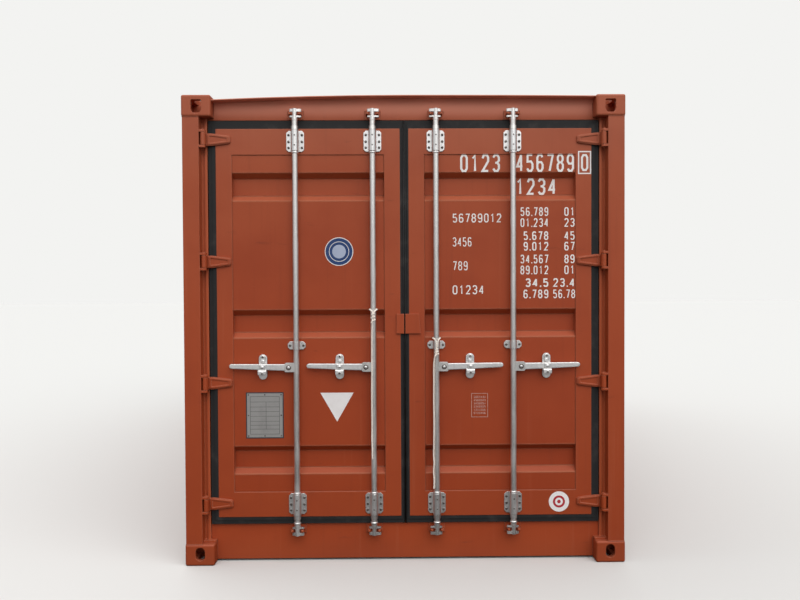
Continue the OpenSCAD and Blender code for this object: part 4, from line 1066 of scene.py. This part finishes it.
# %% Digits
DIGIT_LINES = {
    0: [[(0.25, 0), (0, 0.16), (0, 0.84), (0.25, 1), (0.75, 1), (1, 0.84), (1, 0.16),
         (0.75, 0), (0.25, 0)]],
    1: [[(0.15, 0.8), (0.55, 1), (0.55, 0)]],
    2: [[(0, 0.8), (0.2, 1), (0.8, 1), (1, 0.84), (1, 0.62), (0, 0), (1, 0)]],
    3: [[(0, 0.85), (0.25, 1), (0.75, 1), (1, 0.84), (1, 0.66), (0.7, 0.52), (0.35, 0.52)],
        [(0.7, 0.52), (1, 0.38), (1, 0.16), (0.75, 0), (0.25, 0), (0, 0.15)]],
    4: [[(0.75, 0), (0.75, 1)], [(0.75, 1), (0, 0.28), (1, 0.28)]],
    5: [[(0.95, 1), (0.08, 1), (0.05, 0.58), (0.7, 0.6), (1, 0.44), (1, 0.16), (0.75, 0),
         (0.25, 0), (0, 0.15)]],
    6: [[(0.95, 0.86), (0.75, 1), (0.25, 1), (0, 0.84), (0, 0.16), (0.25, 0), (0.5, 0)],
        [(0.5, 0), (0.75, 0), (1, 0.16), (1, 0.4), (0.75, 0.55), (0.25, 0.55), (0, 0.42)]],
    7: [[(0, 1), (1, 1), (0.4, 0)]],
    8: [[(0.3, 0.53), (0, 0.38), (0, 0.16), (0.25, 0), (0.75, 0), (1, 0.16), (1, 0.38),
         (0.7, 0.53), (0.3, 0.53)],
        [(0.3, 0.53), (0.04, 0.68), (0.04, 0.86), (0.28, 1), (0.72, 1), (0.96, 0.86),
         (0.96, 0.68), (0.7, 0.53)]],
}
DIGIT_LINES[9] = [[(1 - x, 1 - z) for x, z in line] for line in DIGIT_LINES[6]]
print("digits", len(DIGIT_LINES))

# %% Strokes and rows
OVER = 0.04
STOP_PITCH = 0.45
DIGIT_WIDTH = 0.72


def stroke(line, width, rise=0.0):
    """Quads that follow a bent line with an even width and mitred corners."""
    dots = [Vector(p) for p in line]
    if len(dots) > 2 and (dots[0] - dots[-1]).length < 1e-6:
        ends = (dots[-2], dots[1])
    else:
        ends = (2 * dots[0] - dots[1], 2 * dots[-1] - dots[-2])
    left, right = [], []
    for i, dot in enumerate(dots):
        before = dots[i - 1] if i else ends[0]
        after = dots[i + 1] if i + 1 < len(dots) else ends[1]
        a, b = (dot - before).normalized(), (after - dot).normalized()
        n, m = Vector((-a.y, a.x)), Vector((-b.y, b.x))
        mitre = (n + m) / max(0.5, 1 + n.dot(m)) * width / 2
        left.append(dot + mitre)
        right.append(dot - mitre)
    return [[(*p, rise) for p in (right[i], right[i + 1], left[i + 1], left[i])]
            for i in range(len(dots) - 1)]


def digits(text, x0, x1, z0, z1, weight=0.2):
    """A row of digits that fills a box given in mm; a full stop is a small square."""
    cells = sum(STOP_PITCH if c == "." else 1.0 for c in text)
    pitch = (x1 - x0) / (cells - 1 + DIGIT_WIDTH)
    width = weight * pitch
    wide, high = DIGIT_WIDTH * pitch - width, z1 - z0 - width
    shapes, x = [], x0
    for c in text:
        if c == ".":
            shapes.append(box_shape(x, x + width, z0, z0 + width))
            x += STOP_PITCH * pitch
            continue
        for n, line in enumerate(DIGIT_LINES[int(c)]):
            placed = [(x + width / 2 + u * wide, z0 + width / 2 + v * high) for u, v in line]
            shapes += stroke(placed, width, n * OVER)
        x += pitch
    return shapes


def frame_line(x0, x1, z0, z1, width):
    """The outline of a box drawn with a stroke."""
    return stroke([*box_shape(x0, x1, z0, z1), (x0, z0)], width)


print("one digit has", len(digits("8", 0, 10, 0, 10)), "quads")

# %% [markdown]
# ## Paint and vinyl of the markings
# The rows are white alkyd paint sprayed through a stencil, the labels printed vinyl,
# and the plate brushed aluminium. Paint and vinyl look even and dull, with faint dirt
# and specks where they have come off. The plate's scratches, a few hundredths of a
# millimetre wide, are drawn 0.7 mm high, so that they show as a level grain.


# %% Materials of the markings
def marking_film(tree, colour, worn, bare=0.0):
    """Sprayed or printed film: an even colour with faint dirt and lost specks."""
    specks = cloudy(tree, 6.25, 4)
    mixed = layer(tree, colour, worn, cloudy(tree, 111), 0.4, 0.75, 0.4)
    mixed = layer(tree, mixed, "8c3f28", specks, 0.74 - bare, 0.78 - bare)
    bump = add_node(tree, "Bump", Strength=0.15, Distance=0.3 * MM, Height=specks)
    return add_node(tree, "BsdfPrincipled", mixed, Roughness=0.6, Specular_IOR_Level=0.3,
                    Normal=bump)


def plate_aluminium(tree):
    """Brushed aluminium gone grey, with fine level scratches."""
    lines = cloudy(tree, (50, 50, 0.714))
    colour = add_node(tree, "Mix", lines, "929190", "aeaaa5", **COLOUR)
    colour = layer(tree, colour, "807c79", cloudy(tree, 71.4, 4), 0.45, 0.75, 0.3)
    bump = add_node(tree, "Bump", Strength=0.1, Distance=0.2 * MM, Height=lines)
    return add_node(tree, "BsdfPrincipled", colour, 0.35, 0.5, Normal=bump)


white = new_material("white_stencil_paint", marking_film, "f8f4f0", "e0d6cf")
faded = new_material("faded_stencil_paint", marking_film, "c9a79b", "a8735f", 0.16)
blue = new_material("blue_vinyl", marking_film, "27406f", "3f5580")
pale_blue = new_material("pale_blue_vinyl", marking_film, "b3bcd2", "97a3bd")
red = new_material("red_vinyl", marking_film, "b8323a", "a8404a")
pale_vinyl = new_material("pale_vinyl", marking_film, "f6f1ef", "e0d4d1")
dark_line = new_material("dark_print", marking_film, "3a3a3e", "55555a")
plate_metal = new_material("grey_brushed_aluminium", plate_aluminium)
print("plate", plate_metal.name)

# %% [markdown]
# ## The rows
# The rows stand on the right door. The upper row crosses the seam between frame and
# panel, and the second lies in a pressed trough, as on the real door.

# %% Stencilled rows
ROW_HEIGHT = 48
rows = digits("0123", 312, 534, 2173, 2272) + digits("456789", 624, 947, 2173, 2272)
rows += digits("0", 985, 1026, 2176, 2270) + frame_line(972, 1038.5, 2163, 2284, 7)
rows += digits("1234", 629, 854, 2049, 2141)
for text, x0, x1, z0, z1 in (
        ("56789012", 269, 540, 1893, 1942), ("3456", 269, 374, 1760, 1810),
        ("789", 269, 352, 1627, 1677), ("01234", 268, 442, 1493, 1543)):
    rows += digits(text, x0, x1, z0, z1, 0.17)
for text, x0, more, x1, x2, z0 in (
        ("56.789", 648, "01", 893, 950, 1928), ("01.234", 648, "23", 893, 950, 1867),
        ("5.678", 665, "45", 893, 950, 1794), ("9.012", 665, "67", 893, 950, 1735),
        ("34.567", 647, "89", 893, 950, 1664), ("89.012", 647, "01", 893, 950, 1603),
        ("34.5", 675, "23.4", 830, 950, 1532), ("6.789", 664, "56.78", 830, 953, 1469)):
    rows += digits(text, x0, 803, z0, z0 + ROW_HEIGHT)
    rows += digits(more, x1, x2, z0, z0 + ROW_HEIGHT, 0.19)
lay_on_leaf("stencil_rows", rows, white)

small = frame_line(372, 462, 806, 938, 2.5)
for i in range(6):
    small += digits("0123456"[i:] + "6543210"[:i], 384, 450, 822 + 18 * i, 834 + 18 * i)
lay_on_leaf("faded_stencil", small, faded)
print("quads in the rows", len(rows), len(small))

# %% [markdown]
# ## Labels, patch and plate
# A printed label is thin, so its rings lie a fraction of a millimetre over their
# ground. The blank triangle and the grey plate keep their places without words. The
# plate is a real sheet that stands off the panel, held by eight rivets.

# %% Round labels and blank patch
LABEL_LIFT = 0.8
BLUE_LABEL = (-364, 1734)
WHITE_LABEL = (861, 327)
blue_rings = disc(*BLUE_LABEL, 79, 75) + disc(*BLUE_LABEL, 56, 53)
red_rings = disc(*WHITE_LABEL, 34, 22) + disc(*WHITE_LABEL, 10)
lay_on_leaf("blue_label", disc(*BLUE_LABEL, 79), blue)
lay_on_leaf("blue_label_ring", blue_rings, pale_vinyl, lift=LABEL_LIFT)
lay_on_leaf("blue_label_middle", disc(*BLUE_LABEL, 38), pale_blue, lift=LABEL_LIFT)
lay_on_leaf("white_label", disc(*WHITE_LABEL, 57), pale_vinyl)
lay_on_leaf("white_label_ring", red_rings, red, lift=LABEL_LIFT)
lay_on_leaf("blank_patch", [[(-473, 947), (-380, 785), (-288, 947)]], pale_vinyl)
print("labels made")

# %% Data plate
PLATE_BORDER, FIELD_BORDER, RIVET_BORDER = 6, 24, 14
RULES_UP = (52, 74, 96, 124, 150, 176, 204)
COLUMN = 112
x0, x1, z0, z1 = -888, -678, 694, 952
lay_on_leaf("data_plate_edge", [box_shape(x0, x1, z0, z1)], dark_line, 1.2)
metal = box_shape(x0 + PLATE_BORDER, x1 - PLATE_BORDER, z0 + PLATE_BORDER, z1 - PLATE_BORDER)
lay_on_leaf("data_plate", [metal], plate_metal, 2.0)
left, right = x0 + FIELD_BORDER, x1 - FIELD_BORDER
ruled = frame_line(left, right, z0 + FIELD_BORDER, z1 - FIELD_BORDER, 1.6)
for up in RULES_UP:
    ruled += stroke([(left, z0 + up), (right, z0 + up)], 1.4, OVER)
column = [(x0 + COLUMN, z0 + up) for up in (RULES_UP[0], RULES_UP[-1])]
ruled += stroke(column, 1.4, 2 * OVER)
lay_on_leaf("data_plate_fields", ruled, dark_line, 2.4)
middle = ((x0 + x1) / 2, (z0 + z1) / 2)
rivets = ([], [])
for x in (x0 + RIVET_BORDER, middle[0], x1 - RIVET_BORDER):
    for z in (z0 + RIVET_BORDER, middle[1], z1 - RIVET_BORDER):
        if (x, z) != middle:
            spin(rivets, at(x, PANEL_DEPTH - 1.8, z), RIVET_HEAD, 14)
make_piece("data_plate_rivets", rivets, bolts, "left_door")
print("plate made")

# %% [markdown]
# ## Floor screws
# The plywood is screwed to the cross members with countersunk screws, which show when
# the doors are open. They are driven by hand, so each gets a small random shift.

# %% Screws in the floor
SCREW_PITCH = 0.2115
SCREW_X = (-1.05, -0.8, -0.55, -0.3, -0.06, 0.06, 0.3, 0.55, 0.8, 1.05)
SCREW_HEAD = [(5.5, -1), (5.5, 0.15), (4.2, 0.35), (0.5, 0.1)]
floor_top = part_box("floor_boards")[1].z
screws = ([], [])
drift = random.Random(4)
for k in range(-13, 14):
    for x in SCREW_X:
        place = Vector((x + drift.uniform(-4, 4) * MM, k * SCREW_PITCH, floor_top))
        spin(screws, place, SCREW_HEAD, 10, UPWARD)
make_piece("floor_screws", screws, bolts, "frame")
print("screws on the height", round(floor_top, 3))

# %% [markdown]
# ## Studio
# The light is soft and even, like an overcast sky that is brighter from above, so the
# undersides of ledges go dark. To the camera the floor is as pale as the background,
# and to the object it is as dark as the yard, so little light comes from below.

# %% Floor
FLOOR_HALF = 60.0


def studio_ground(tree):
    """A diffuse floor: pale to the camera and dark to the object's light."""
    seen = add_node(tree, "LightPath", out="Is Camera Ray")
    colour = add_node(tree, "Mix", seen, "4e4c4a", "dad9d6", **COLOUR)
    return add_node(tree, "BsdfPrincipled", colour, Roughness=0.95, Specular_IOR_Level=0.0)


floor_mesh = bpy.data.meshes.new("studio_floor")
floor_mesh.from_pydata(
    [(a * FLOOR_HALF, b * FLOOR_HALF, 0) for a, b in ((-1, -1), (1, -1), (1, 1), (-1, 1))],
    [], [(0, 1, 2, 3)])
floor_mesh.materials.append(new_material("studio_floor", studio_ground))
floor = bpy.data.objects.new("studio_floor", floor_mesh)
bpy.context.scene.collection.objects.link(floor)
print("floor half", FLOOR_HALF)

# %% [markdown]
# The sky that lights the object is even. The one that it mirrors is brighter in front
# of the doors and overhead, which gives the zinc its shine. The camera sees neither,
# but a plain pale background.

# %% Sky
SKY_COLOUR = "f4f6f8"
world = bpy.data.worlds.new("studio_world")
bpy.context.scene.world = world
world.use_nodes = True
sky = world.node_tree
sky.nodes.clear()
way = add_node(sky, "TexCoord", out="Generated")
along = add_node(sky, "SeparateXYZ", way, out="Y")
upward = add_node(sky, "SeparateXYZ", way, out="Z")
front = add_node(sky, "MapRange", along, 0.15, -0.85, 0.2, 1.0)
above = add_node(sky, "MapRange", upward, 0.0, 0.8, 0.0, 0.7)
mirrored = add_node(sky, "Math", front, above, operation="ADD")
soft = add_node(sky, "Background", SKY_COLOUR, 0.72)
glossy = add_node(sky, "Background", SKY_COLOUR, mirrored)
pale = add_node(sky, "Background", "f3f3f1", 1.0)
in_mirror = add_node(sky, "LightPath", out="Is Glossy Ray")
in_picture = add_node(sky, "LightPath", out="Is Camera Ray")
lit = add_node(sky, "MixShader", in_mirror, soft, glossy)
add_node(sky, "OutputWorld", add_node(sky, "MixShader", in_picture, lit, pale))
print("sky nodes", len(sky.nodes))

# %% [markdown]
# Two very broad suns stand for the bright parts of the sky: a strong one above the
# doors and a weak one behind, which keeps the back from going black.


# %% Broad suns
def broad_sun(name, toward, power, spread):
    """A sun as broad as the bright part of an overcast sky."""
    data = bpy.data.lights.new(name, "SUN")
    data.energy = power
    data.angle = math.radians(spread)
    lamp = bpy.data.objects.new(name, data)
    bpy.context.scene.collection.objects.link(lamp)
    lamp.location = Vector(toward) * 10
    lamp.rotation_mode = "QUATERNION"
    lamp.rotation_quaternion = Vector(toward).to_track_quat("Z", "Y")


broad_sun("door_side_sky", (0.25, -0.70, 0.85), 1.8, 70)
broad_sun("rear_sky", (-0.55, 0.60, 0.85), 0.9, 80)
bpy.context.scene.view_settings.view_transform = "Standard"
print("lamps", len(bpy.data.lights))
